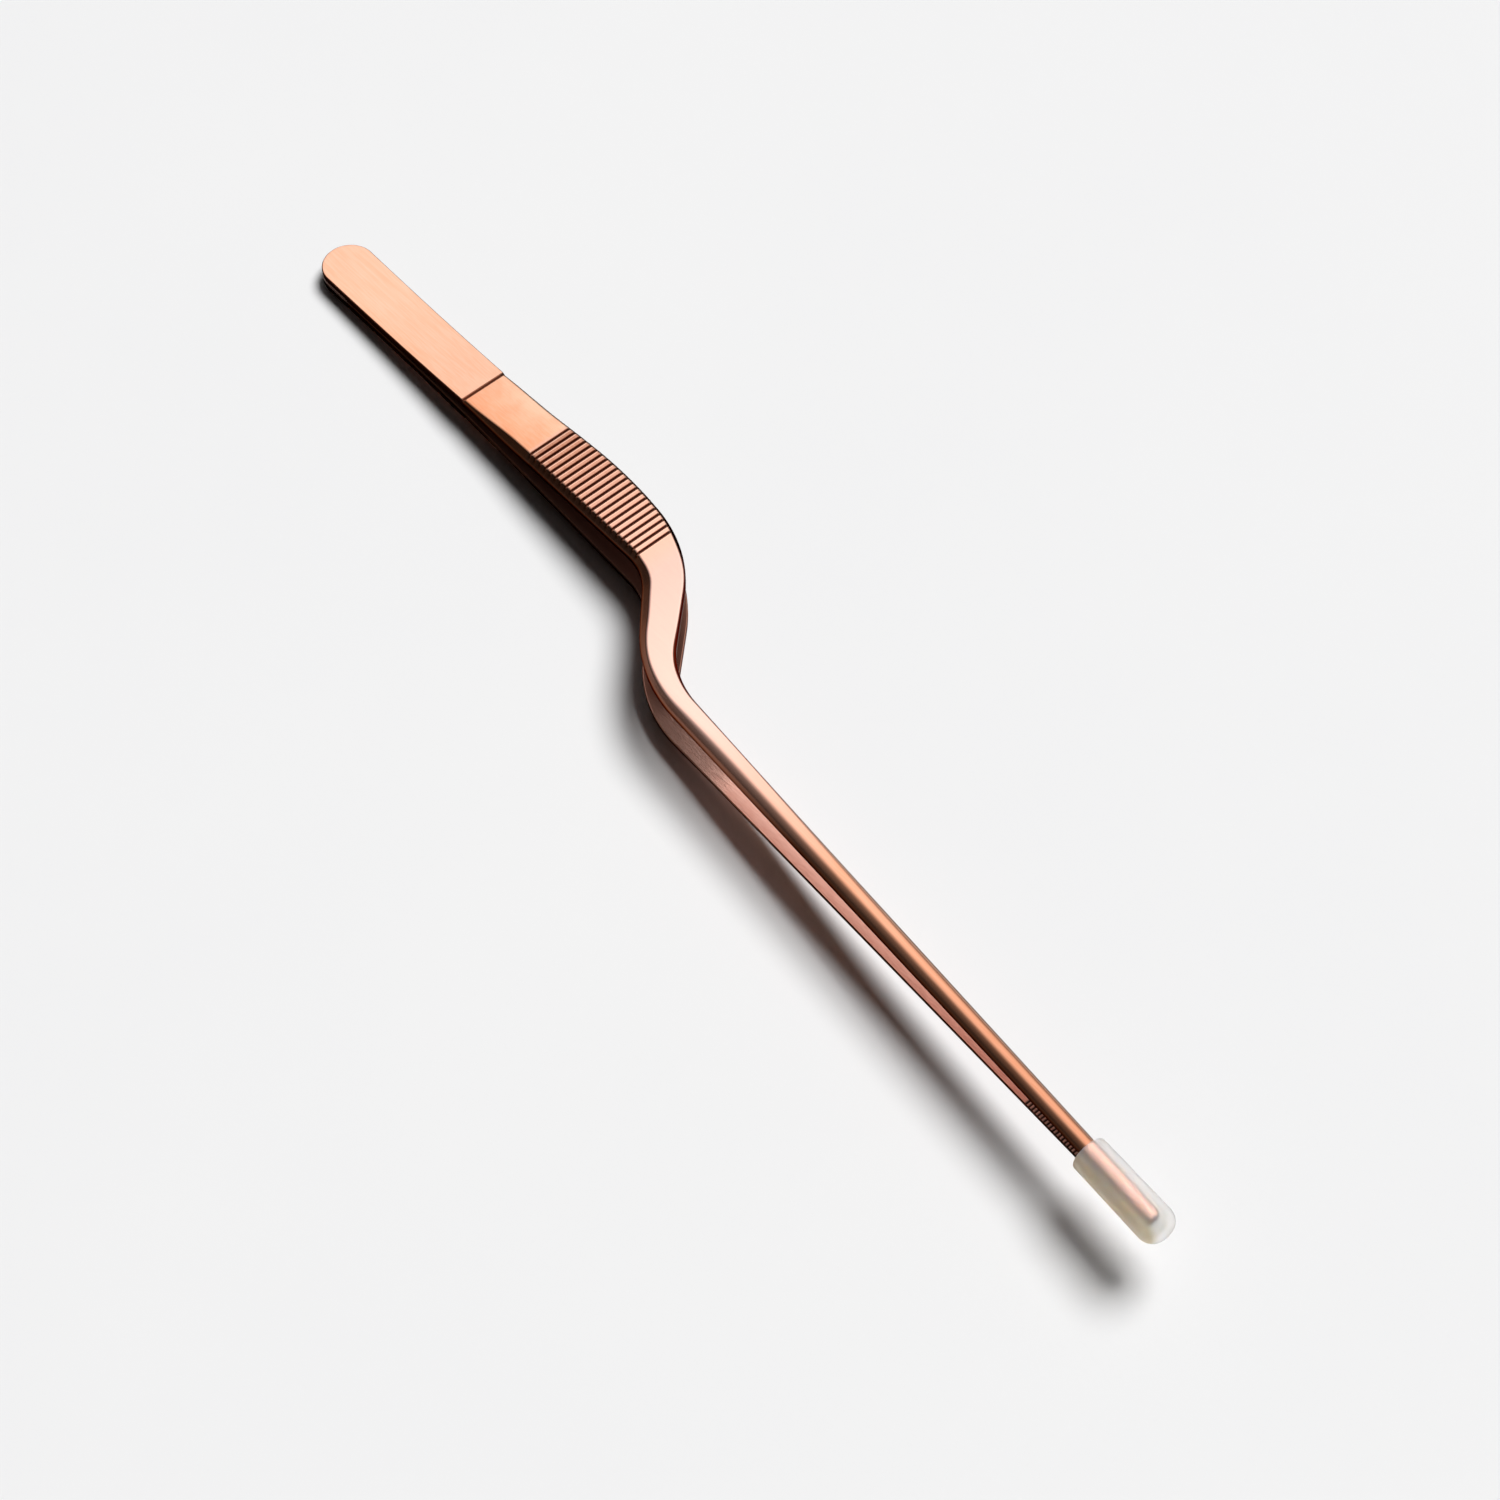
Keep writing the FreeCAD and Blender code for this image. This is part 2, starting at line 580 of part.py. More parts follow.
def tip_cap(doc):
    """The silicone cover: a round-nosed sleeve with a slot that both tips fill."""
    z = SIZES
    body = doc.addObject("PartDesign::Body", "TipCap")
    body.Label = "tip_cap"
    profile = new_sketch(body, "CoverProfile", "XZ_Plane")
    nose_round = z["cap_nose_radius"] - z["cap_end_flat"]
    nose_start = z["cap_length"] - nose_round
    round_cells = "(%s - %s)" % (cell("cap_nose_radius"), cell("cap_end_flat"))
    corners = [
        (0.0, 0.0, "0 mm", "0 mm"),
        (0.0, z["cap_mouth_radius"], "0 mm", cell("cap_mouth_radius")),
        (nose_start, z["cap_nose_radius"], "%s - %s" % (cell("cap_length"), round_cells),
         cell("cap_nose_radius")),
        (z["cap_length"], z["cap_end_flat"], cell("cap_length"), cell("cap_end_flat")),
        (z["cap_length"], 0.0, cell("cap_length"), "0 mm"),
    ]
    points = [FreeCAD.Vector(x, y, 0) for x, y, _, _ in corners]
    lines = []
    for first, second in ((0, 1), (1, 2), (3, 4), (4, 0)):
        lines.append(sketch_line(profile, points[first], points[second]))
    for line, corner in zip(lines, (0, 1, 3, 4)):
        x, y, x_expression, y_expression = corners[corner]
        fix_point(profile, line, 1, x, x_expression, y, y_expression)
    fix_point(profile, lines[1], 2, nose_start, corners[2][2], z["cap_nose_radius"], corners[2][3])
    nose_centre = FreeCAD.Vector(nose_start, z["cap_end_flat"], 0)
    nose = profile.addGeometry(Part.ArcOfCircle(
        Part.Circle(nose_centre, FreeCAD.Vector(0, 0, 1), nose_round), 0, math.pi / 2), False)
    profile.addConstraint(Sketcher.Constraint("Coincident", lines[0], 2, lines[1], 1))
    profile.addConstraint(Sketcher.Constraint("Coincident", lines[1], 2, nose, 2))
    profile.addConstraint(Sketcher.Constraint("Coincident", nose, 1, lines[2], 1))
    profile.addConstraint(Sketcher.Constraint("Coincident", lines[2], 2, lines[3], 1))
    profile.addConstraint(Sketcher.Constraint("Coincident", lines[3], 2, lines[0], 1))
    bind(profile, Sketcher.Constraint("Radius", nose, nose_round), round_cells)
    check_solved(profile)
    cover = body.newObject("PartDesign::Revolution", "Cover")
    cover.Profile = profile
    cover.ReferenceAxis = (profile, ["H_Axis"])
    cover.Angle = 360
    doc.recompute()

    slot = new_sketch(body, "TipSlot", "YZ_Plane")
    half_width = z["cap_slot_width"] / 2
    half_height = z["cap_slot_height"] / 2
    corners = [(-half_width, -half_height), (half_width, -half_height),
               (half_width, half_height), (-half_width, half_height)]
    signs = [("-", "-"), ("", "-"), ("", ""), ("-", "")]
    points = [FreeCAD.Vector(x, y, 0) for x, y in corners]
    for i in range(4):
        sketch_line(slot, points[i], points[(i + 1) % 4])
    for i in range(4):
        slot.addConstraint(Sketcher.Constraint("Coincident", i, 2, (i + 1) % 4, 1))
        fix_point(slot, i, 1, corners[i][0], "%s%s / 2" % (signs[i][0], cell("cap_slot_width")),
                  corners[i][1], "%s%s / 2" % (signs[i][1], cell("cap_slot_height")))
    check_solved(slot)
    hollow = body.newObject("PartDesign::Pocket", "Hollow")
    hollow.Profile = slot
    hollow.Reversed = True
    hollow.setExpression("Length", cell("cap_slot_depth"))
    doc.recompute()
    corners = body.newObject("PartDesign::Fillet", "SlotCorners")
    corners.Base = (hollow, slot_corner_edges(hollow.Shape))
    corners.setExpression("Radius", cell("cap_slot_round"))
    doc.recompute()
    lip = body.newObject("PartDesign::Fillet", "MouthLip")
    lip.Base = (corners, [rim_edge(corners.Shape)])
    lip.setExpression("Radius", cell("cap_mouth_round"))
    doc.recompute()
    return body


def slot_corner_edges(shape):
    """The straight edges along the slot's four corners."""
    names = []
    for number, edge in enumerate(shape.Edges, start=1):
        box = edge.BoundBox
        start = edge.Vertexes[0].Point
        off_axis = abs(start.y) > 0.1 and abs(start.z) > 0.1
        if box.XLength > 0.9 * SIZES["cap_slot_depth"] and off_axis and box.YLength < 0.01:
            names.append("Edge%d" % number)
    return names


def rim_edge(shape):
    """The round outer edge of the mouth."""
    for number, edge in enumerate(shape.Edges, start=1):
        if edge.BoundBox.XMax < 0.01 and edge.BoundBox.YLength > 2 * SIZES["cap_mouth_radius"] - 0.1:
            return "Edge%d" % number
    raise RuntimeError("the cover has no rim")


def sketch_line(sketch, start, end):
    return sketch.addGeometry(Part.LineSegment(start, end), False)


def lower_arm(doc, upper, pose):
    """The same arm from the mirrored die, turned over about the plane between the arms."""
    lower = doc.addObject("Part::Mirroring", "ArmLower")
    lower.Label = "arm_lower"
    lower.Source = upper
    lower.Base = pose.Base
    lower.Normal = pose.Rotation.multVec(FreeCAD.Vector(0, 0, 1))
    doc.recompute()
    return lower


def resting_pose(shapes):
    """Turn the tool down on its heel and grip, centre it over the origin and set it on Z = 0."""
    tilt = FreeCAD.Rotation(FreeCAD.Vector(0, 1, 0), -SIZES["rest_tilt"])
    turned = Part.makeCompound(shapes)
    turned.Placement = FreeCAD.Placement(FreeCAD.Vector(), tilt)
    box = turned.optimalBoundingBox(False)
    return FreeCAD.Placement(FreeCAD.Vector(-box.Center.x, -box.Center.y, -box.ZMin), tilt)


def check_document(doc, nodes):
    for obj in doc.Objects:
        if "Invalid" in obj.State or "Error" in obj.State:
            raise RuntimeError("%s is %s" % (obj.Name, obj.State))
    for node in nodes:
        if node.Shape.isNull() or not node.Shape.isValid():
            raise RuntimeError("bad shape in " + node.Label)
        print("%-10s solids %d volume %8.2f" % (node.Label, len(node.Shape.Solids), node.Shape.Volume))


def main():
    doc = FreeCAD.newDocument("BarTongs")
    make_sheet(doc)
    blank = blank_arm(doc)
    plain = bevelled_arm(doc, blank)
    upper = finished_arm(doc, plain)
    weld = heel_weld(doc)
    cover = tip_cap(doc)

    cover_seat = FreeCAD.Placement(
        FreeCAD.Vector(SIZES["cap_mouth"], -SIZES["cap_offset"], 0),
        FreeCAD.Rotation(FreeCAD.Vector(0, 0, 1), -SIZES["cap_slope"]))
    cover.Placement = cover_seat
    doc.recompute()
    mirrored = upper.Shape.mirror(FreeCAD.Vector(), FreeCAD.Vector(0, 0, 1))
    pose = resting_pose([upper.Shape, mirrored, cover.Shape])
    upper.Placement = pose
    weld.Placement = pose
    cover.Placement = pose.multiply(cover_seat)
    lower = lower_arm(doc, upper, pose)
    doc.recompute()

    nodes = [upper, lower, weld, cover]
    check_document(doc, nodes)
    os.makedirs("parts", exist_ok=True)
    for node in nodes:
        node.Shape.exportStep("parts/%s.step" % node.Label)


main()
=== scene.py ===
import math

import bmesh
import bpy
import numpy as np
from mathutils import Matrix, Vector


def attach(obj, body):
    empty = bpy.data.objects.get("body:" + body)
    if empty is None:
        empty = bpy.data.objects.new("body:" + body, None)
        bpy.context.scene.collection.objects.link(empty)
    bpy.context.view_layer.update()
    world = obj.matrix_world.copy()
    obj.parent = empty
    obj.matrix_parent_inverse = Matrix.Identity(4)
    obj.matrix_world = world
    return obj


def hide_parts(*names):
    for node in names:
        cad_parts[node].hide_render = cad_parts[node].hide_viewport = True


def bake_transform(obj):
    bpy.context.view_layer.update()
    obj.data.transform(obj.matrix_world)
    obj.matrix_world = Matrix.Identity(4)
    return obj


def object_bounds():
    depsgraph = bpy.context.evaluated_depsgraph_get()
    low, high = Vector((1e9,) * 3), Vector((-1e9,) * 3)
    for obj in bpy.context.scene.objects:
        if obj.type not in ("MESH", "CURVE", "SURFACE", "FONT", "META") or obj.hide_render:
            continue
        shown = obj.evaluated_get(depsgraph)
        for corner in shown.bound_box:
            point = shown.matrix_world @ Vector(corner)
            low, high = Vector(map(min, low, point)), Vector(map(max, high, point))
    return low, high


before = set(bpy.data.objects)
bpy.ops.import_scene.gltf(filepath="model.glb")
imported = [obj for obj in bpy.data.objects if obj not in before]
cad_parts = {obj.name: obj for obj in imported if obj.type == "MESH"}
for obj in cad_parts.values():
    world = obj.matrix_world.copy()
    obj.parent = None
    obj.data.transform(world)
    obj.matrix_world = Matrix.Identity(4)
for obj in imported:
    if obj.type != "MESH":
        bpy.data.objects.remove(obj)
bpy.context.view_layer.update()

# Offset bar tongs on a pale floor.  The shapes are worked out in the tool's own frame in
# millimetres (X from heel to tips, Y across, Z = 0 between the arms) and then moved to where
# the frame holds the tool.


def rad(degrees):
    return math.radians(degrees)


MM = 0.001
TILT = rad(2.475)
HEEL = Vector((-105.145, 9.590, 1.4986))
POSE = Matrix.Translation(HEEL) @ Matrix.Rotation(-TILT, 4, "Y")

# heel, rear plate and overall length
HEEL_RADIUS = 4.3
TAPER = rad(0.33)
PLATE = 1.5
WELD_LENGTH = 12.0
STEP_X = 39.0
ARM_LENGTH = 208.7

# seen from above: runs, bend radii and slopes (in degrees) of both edges, from step to tip
FAR_FLARE, FAR_FRONT_RUN = 2.4, 21.0
FAR_CROWN_RADIUS, FAR_CROWN_SLOPE, FAR_CROWN_RUN = 90.0, -8, 0.2
FAR_BEND_RADIUS, FAR_NECK_SLOPE, FAR_NECK_RUN = 26.0, -47, 8.2
FAR_SHANK_RADIUS, FAR_SHANK_SLOPE = 14.7, -3.17
NEAR_FRONT_SLOPE, NEAR_FRONT_RUN = -0.95, 40.5
NEAR_BEND_RADIUS, NEAR_NECK_SLOPE, NEAR_NECK_RUN = 10.9, -42, 7.5
NEAR_SHANK_RADIUS, NEAR_SHANK_SLOPE, NEAR_SHANK_RUN = 22.5, -2.41, 100.9
GRIP_END = 82.4
SHANK_START = 107.5

# seen from the side: how each arm leaves the plane between them, and how its thickness grows
LEAF_SLOPE = rad(2.85)
LEAF_RADIUS = 466.0
LEAF_LENGTH = 52.0
CROWN_RADIUS = 205.0
CROWN_POINTS = 80
TIP_SLOPE = rad(1.62)
OUTER_TIP_SLOPE = rad(2.03)
THICKEN_SLOPE = rad(1.9)
THICKEN_LENGTH = 18.0
PAST_HEEL, PAST_TIP = 5, 3

# cuts across the faces: the step's notch, the grip's grooves and the tips' fine teeth
NOTCH_CLEAR, NOTCH_HALF, NOTCH_FLOOR, NOTCH_DEPTH = 0.42, 0.35, 0.09, 0.38
GROOVES, GROOVE_START, GROOVE_PITCH = 22, 55.2, 1.25
GROOVE_HALF, GROOVE_FLOOR, GROOVE_DEPTH = 0.31, 0.155, 0.38
GROOVE_CLEAR, LIP_WIDTH, LIP_DEPTH = 0.05, 0.02, 0.03
TEETH, TOOTH_PITCH, TOOTH_DEPTH, TOOTH_END = 40, 0.6, 0.15, 207.2
TOOTH_HALF, TOOTH_FLOOR = 0.28, 0.05


# ---------------------------------------------------------------- outline and side view

class Path:
    """Lines and tangent arcs as a dense run of points, with the heading at each."""

    def __init__(self, start, heading):
        self.points = [tuple(start)]
        self.headings = [heading]
        self.keys = [0.0]

    def _add(self, point, heading):
        self.points.append(point)
        self.headings.append(heading)

    def turn(self, heading):
        self._add(self.points[-1], heading)
        return self

    def line(self, length, count=24):
        x, y = self.points[-1]
        h = self.headings[-1]
        for i in range(1, count + 1):
            run = length * i / count
            self._add((x + run * math.cos(h), y + run * math.sin(h)), h)
        self.keys.append(self.length())
        return self

    def arc(self, radius, heading, count=40):
        x, y = self.points[-1]
        h = self.headings[-1]
        side = 1 if heading > h else -1
        cx, cy = x - side * radius * math.sin(h), y + side * radius * math.cos(h)
        for i in range(1, count + 1):
            a = h + (heading - h) * i / count
            self._add((cx + side * radius * math.sin(a), cy - side * radius * math.cos(a)), a)
        self.keys.append(self.length())
        return self

    def length(self):
        p = np.array(self.points)
        return float(np.hypot(*np.diff(p, axis=0).T).sum())

    def close(self):
        """Make the tables in which at() and s_at_x() look places up."""
        self.p = np.array(self.points)
        self.h = np.array(self.headings)
        self.s = np.concatenate([[0], np.cumsum(np.hypot(*np.diff(self.p, axis=0).T))])

    def at(self, s):
        """(x, y, heading) at the distance s along the path."""
        return (np.interp(s, self.s, self.p[:, 0]), np.interp(s, self.s, self.p[:, 1]),
                np.interp(s, self.s, self.h))

    def s_at_x(self, x):
        return np.interp(x, self.p[:, 0], self.s)


rear_start = HEEL_RADIUS * (1 + math.sin(TAPER))
rear_side = HEEL_RADIUS * math.cos(TAPER)
rear_run = (STEP_X - rear_start) / math.cos(TAPER)
far_end, near_end = rad(FAR_SHANK_SLOPE), rad(NEAR_SHANK_SLOPE)

FAR = Path((rear_start, rear_side), -TAPER).line(rear_run)
FAR.turn(rad(FAR_FLARE)).line(FAR_FRONT_RUN)
FAR.arc(FAR_CROWN_RADIUS, rad(FAR_CROWN_SLOPE)).line(FAR_CROWN_RUN)
FAR.arc(FAR_BEND_RADIUS, rad(FAR_NECK_SLOPE)).line(FAR_NECK_RUN)
FAR.arc(FAR_SHANK_RADIUS, far_end)
NEAR = Path((rear_start, -rear_side), TAPER).line(rear_run)
NEAR.turn(rad(NEAR_FRONT_SLOPE)).line(NEAR_FRONT_RUN)
NEAR.arc(NEAR_BEND_RADIUS, rad(NEAR_NECK_SLOPE)).line(NEAR_NECK_RUN)
NEAR.arc(NEAR_SHANK_RADIUS, near_end).line(NEAR_SHANK_RUN)
# where the neck's straight run starts and ends along each edge
FAR_NECK, NEAR_NECK = FAR.keys[5:7], NEAR.keys[3:5]

# the tips' round end touches both edges, which close on each other
near_tip = np.array(NEAR.points[-1])
far_last = np.array(FAR.points[-1])
from_near = np.array([-math.sin(near_end), math.cos(near_end)])
from_far = np.array([math.sin(far_end), -math.cos(far_end)])
along_far = np.array([math.cos(far_end), math.sin(far_end)])
TIP_RADIUS = float((near_tip - far_last) @ from_far / (1 - from_near @ from_far))
TIP = near_tip + from_near * TIP_RADIUS
FAR.line(float((TIP - far_last) @ along_far))
FAR.close()
NEAR.close()


def side_views():
    """The inner and outer faces seen from the side, as dense (x, z) runs."""
    flat, end = WELD_LENGTH + PAST_HEEL, ARM_LENGTH + PAST_TIP
    inner = Path((-PAST_HEEL, 0), 0).line(flat).arc(LEAF_RADIUS, LEAF_SLOPE).line(LEAF_LENGTH)
    crown_x, crown_z = inner.points[-1]
    inner.arc(CROWN_RADIUS, -TIP_SLOPE, CROWN_POINTS)
    inner.line((end - inner.points[-1][0]) / math.cos(TIP_SLOPE))
    outer = Path((-PAST_HEEL, PLATE), 0).line(flat).arc(LEAF_RADIUS - PLATE, LEAF_SLOPE)
    outer.line((STEP_X - outer.points[-1][0]) / math.cos(LEAF_SLOPE))
    outer.turn(LEAF_SLOPE + THICKEN_SLOPE).line(THICKEN_LENGTH).turn(LEAF_SLOPE)
    dx = crown_x - outer.points[-1][0]
    dz = crown_z - outer.points[-1][1]
    outer.line(dx * math.cos(LEAF_SLOPE) + dz * math.sin(LEAF_SLOPE))
    thickness = math.hypot(outer.points[-1][0] - crown_x, outer.points[-1][1] - crown_z)
    outer.arc(CROWN_RADIUS + thickness, -OUTER_TIP_SLOPE, CROWN_POINTS)
    outer.line((end - outer.points[-1][0]) / math.cos(OUTER_TIP_SLOPE))
    return np.array(inner.points), np.array(outer.points)


INNER, OUTER = side_views()


def inner_z(x):
    return np.interp(x, INNER[:, 0], INNER[:, 1])


def outer_z(x):
    return np.interp(x, OUTER[:, 0], OUTER[:, 1])


def ease(x, low, high):
    """0 below low, 1 above high and a smooth rise between them."""
    t = np.clip((np.asarray(x, float) - low) / (high - low), 0, 1)
    return t * t * (3 - 2 * t)


# ---------------------------------------------------------------- stations along the arm

def groove_cuts():
    """(x, depth) pairs that draw the step's notch and the grip's grooves."""
    cuts = [(STEP_X - NOTCH_CLEAR, 0), (STEP_X - NOTCH_HALF, 0),
            (STEP_X - NOTCH_FLOOR, NOTCH_DEPTH), (STEP_X + NOTCH_FLOOR, NOTCH_DEPTH),
            (STEP_X + NOTCH_HALF, 0), (STEP_X + NOTCH_CLEAR, 0)]
    for i in range(GROOVES):
        x = GROOVE_START + i * GROOVE_PITCH
        cuts += [(x - GROOVE_HALF - GROOVE_CLEAR, 0), (x - GROOVE_HALF, 0.0),
                 (x - GROOVE_HALF + LIP_WIDTH, LIP_DEPTH),
                 (x - GROOVE_FLOOR, GROOVE_DEPTH), (x + GROOVE_FLOOR, GROOVE_DEPTH),
                 (x + GROOVE_HALF - LIP_WIDTH, LIP_DEPTH),
                 (x + GROOVE_HALF, 0.0), (x + GROOVE_HALF + GROOVE_CLEAR, 0)]
    return np.array(cuts)


def tooth_cuts():
    """(x, depth) pairs that draw the fine teeth inside the tips."""
    cuts = []
    for i in range(TEETH):
        x = TOOTH_END - (TEETH - 1 - i) * TOOTH_PITCH
        cuts += [(x - TOOTH_HALF, 0), (x - TOOTH_FLOOR, TOOTH_DEPTH),
                 (x + TOOTH_FLOOR, TOOTH_DEPTH), (x + TOOTH_HALF, 0)]
    return np.array(cuts)


CUTS = groove_cuts()
TOOTH_CUTS = tooth_cuts()

HEEL_ROWS, NECK_ROWS, TIP_ROWS = 26, (22, 12, 30), 12
GRIP_SPACING, SHANK_SPACING, TIP_GAP = 1.0, 1.5, 0.02


def stations():
    """Rows (near x, near y, near heading, far x, far y, far heading, middle x, middle y)."""
    rows = []

    def add(n, f):
        rows.append((*n, *f, (n[0] + f[0]) / 2, (n[1] + f[1]) / 2))

    def add_at(xs):
        for x in np.unique(np.round(xs, 4)):
            add(NEAR.at(NEAR.s_at_x(x)), FAR.at(FAR.s_at_x(x)))

    for angle in np.linspace(0, math.pi / 2 - TAPER, HEEL_ROWS)[:-1]:
        x = HEEL_RADIUS * (1 - math.cos(angle))
        y = HEEL_RADIUS * math.sin(angle)
        rows.append((x, -y, angle - math.pi / 2, x, y, math.pi / 2 - angle, HEEL_RADIUS, 0))
    grip = np.arange(rear_start, GRIP_END, GRIP_SPACING)
    add_at(np.concatenate([grip, CUTS[:, 0], [GRIP_END]]))
    near_marks = [NEAR.s_at_x(GRIP_END), *NEAR_NECK, NEAR.s_at_x(SHANK_START)]
    far_marks = [FAR.s_at_x(GRIP_END), *FAR_NECK, FAR.s_at_x(SHANK_START)]
    for part, count in enumerate(NECK_ROWS):
        for t in np.linspace(0, 1, count + 1)[1:]:
            add(NEAR.at(near_marks[part] + t * (near_marks[part + 1] - near_marks[part])),
                FAR.at(far_marks[part] + t * (far_marks[part + 1] - far_marks[part])))
    last = TIP[0] - TIP_GAP
    shank = np.concatenate([np.arange(SHANK_START + 1, last, SHANK_SPACING), TOOTH_CUTS[:, 0]])
    add_at(shank[shank < last])
    for angle in np.linspace(0, math.pi / 2, TIP_ROWS):
        h_near = near_end + angle * (1 - near_end / (math.pi / 2))
        h_far = far_end - angle * (1 + far_end / (math.pi / 2))
        near = (TIP[0] + TIP_RADIUS * math.sin(h_near), TIP[1] - TIP_RADIUS * math.cos(h_near))
        far = (TIP[0] - TIP_RADIUS * math.sin(h_far), TIP[1] + TIP_RADIUS * math.cos(h_far))
        rows.append((*near, h_near, *far, h_far, TIP[0], TIP[1]))
    return np.array(rows)


# ---------------------------------------------------------------- cross-section of an arm

INNER_POINTS = 4      # points of the half profile on the inner face
LOW_POINTS = 9        # points below the part of the edge that is bevelled or rounded
EDGE_POINTS = 19      # points up to the bevel's upper corner
INNER_CORNER = 0.12   # radius of the corner between the inner face and the side
# the most that the bevel's two corners are cut back, in millimetres and as a share of a side
LOW_ROUND, HIGH_ROUND, ROUND_SHARE = 0.25, 0.26, 0.4

# where along the arm the cross-section changes, as the start and end of each change
BEVEL_GROWTH = (STEP_X, STEP_X + 13)
NECK_FACET, NECK_TURN, SHANK_BEVEL = (82, 88), (92, 100), (100, 125)
SPREAD_IN, SPREAD_OUT = (GRIP_END, GRIP_END + 7), (SHANK_START - 6, SHANK_START)
FAR_ROUNDING, NEAR_ROUNDING = (112, 158), (94, 124)
# where the painted highlight on the shank's far shoulder fades in
SHANK_HIGHLIGHT = (118, 142)
WIDEST_BEVEL = 0.7    # share of the half width


def fillet(before, corner, after, reach, count):
    """Points of a rounded corner, cut back by reach along both sides."""
    before, corner, after = map(np.asarray, (before, corner, after))
    a = corner + (before - corner) / max(np.linalg.norm(before - corner), 1e-9) * reach
    b = corner + (after - corner) / max(np.linalg.norm(after - corner), 1e-9) * reach
    return [tuple((1 - t) ** 2 * a + 2 * t * (1 - t) * corner + t * t * b)
            for t in np.linspace(0, 1, count)]


def half_profile(half, thickness, bevel_width, bevel_depth, roundness):
    """Half a cross-section as (distance in from the edge, height), from the inner face's middle
    round the edge to the outer face's middle, and marks that are 1 on the edge's points."""
    e = INNER_CORNER
    points = [(half, 0), (0.66 * half, 0), (0.33 * half, 0), (e + 0.06, 0)]
    points += [(e * (1 - math.sin(a)), e * (1 - math.cos(a)))
               for a in np.linspace(0, math.pi / 2, 4)]
    points.append((0, e + 0.05))
    side = (0, thickness - bevel_depth)
    top = (bevel_width, thickness)
    middle = (half, thickness)
    slant = math.hypot(bevel_width, bevel_depth)
    low_reach = min(LOW_ROUND, ROUND_SHARE * slant, ROUND_SHARE * (side[1] - e))
    high_reach = min(HIGH_ROUND, ROUND_SHARE * slant, ROUND_SHARE * (half - bevel_width))
    points.append((0, e + 0.5 * (side[1] - low_reach - e)))
    points.append((0, side[1] - low_reach - 0.03))
    points += fillet(points[-1], side, top, low_reach, 4)
    direction = np.array([bevel_width, bevel_depth]) / slant
    straight = slant - low_reach - high_reach
    for share in (0.3, 0.9):
        points.append(tuple(np.array(side) + direction * (low_reach + share * straight)))
    points += fillet(side, top, middle, high_reach, 5)
    reach_x = bevel_width + high_reach
    for share in (0.06, 0.25, 0.5, 0.75, 1.0):
        points.append((reach_x + share * (half - reach_x), thickness))
    points = np.array(points)
    if roundness > 0:
        angle = np.linspace(0, math.pi / 2, len(points) - LOW_POINTS + 1)[1:]
        base = points[LOW_POINTS - 1, 1]
        full = points.copy()
        full[LOW_POINTS:, 0] = half * (1 - np.cos(angle))
        full[LOW_POINTS:, 1] = base + (thickness - base) * np.sin(angle)
        points = points + (full - points) * roundness
    marks = np.zeros(len(points))
    marks[INNER_POINTS:EDGE_POINTS] = 1.0
    return points, marks


def bevel_size(x, far):
    """The bevel's width and depth at x: a broken edge on the rear plate, a bevel that grows
    ahead of the step, the neck's facet and then the shank's bevel."""
    broken = 0.13
    step_width, step_depth = 0.22, 0.35
    grown_width, grown_depth = 0.42 if far else 0.6, 0.72
    past_step = 1.0 if x >= STEP_X else 0.0
    ahead = float(ease(x, *BEVEL_GROWTH))
    width = broken + past_step * (step_width + grown_width * ahead)
    depth = broken + past_step * (step_depth + grown_depth * ahead)
    turned = float(ease(x, *NECK_TURN))
    neck_width = 0.2 + 0.35 * turned if far else 1.3 - 0.5 * turned
    neck_depth = 1.0
    neck = float(ease(x, *NECK_FACET))
    width = width * (1 - neck) + neck * neck_width
    depth = depth * (1 - neck) + neck * neck_depth
    shank_width, shank_depth = 0.5 if far else 1.1, 1.25
    shank = float(ease(x, *SHANK_BEVEL))
    width = width * (1 - shank) + shank * shank_width
    depth = depth * (1 - shank) + shank * shank_depth
    return width, depth


def plan_points(profile, half, edge, normal, middle, x):
    """A spoke's points seen from above: square to the edge, but in the neck they share out the
    way from the edge to the middle line, so that spokes don't cross at the bends."""
    share = (profile[:, 0] / half)[:, None]
    bend = float(ease(x, *SPREAD_IN) * (1 - ease(x, *SPREAD_OUT)))
    t = 1 - bend * (1 - ease(share, 0.35, 1.0))
    square = edge + normal * profile[:, :1]
    shared = edge + (middle - edge) * share
    return square * (1 - t) + shared * t


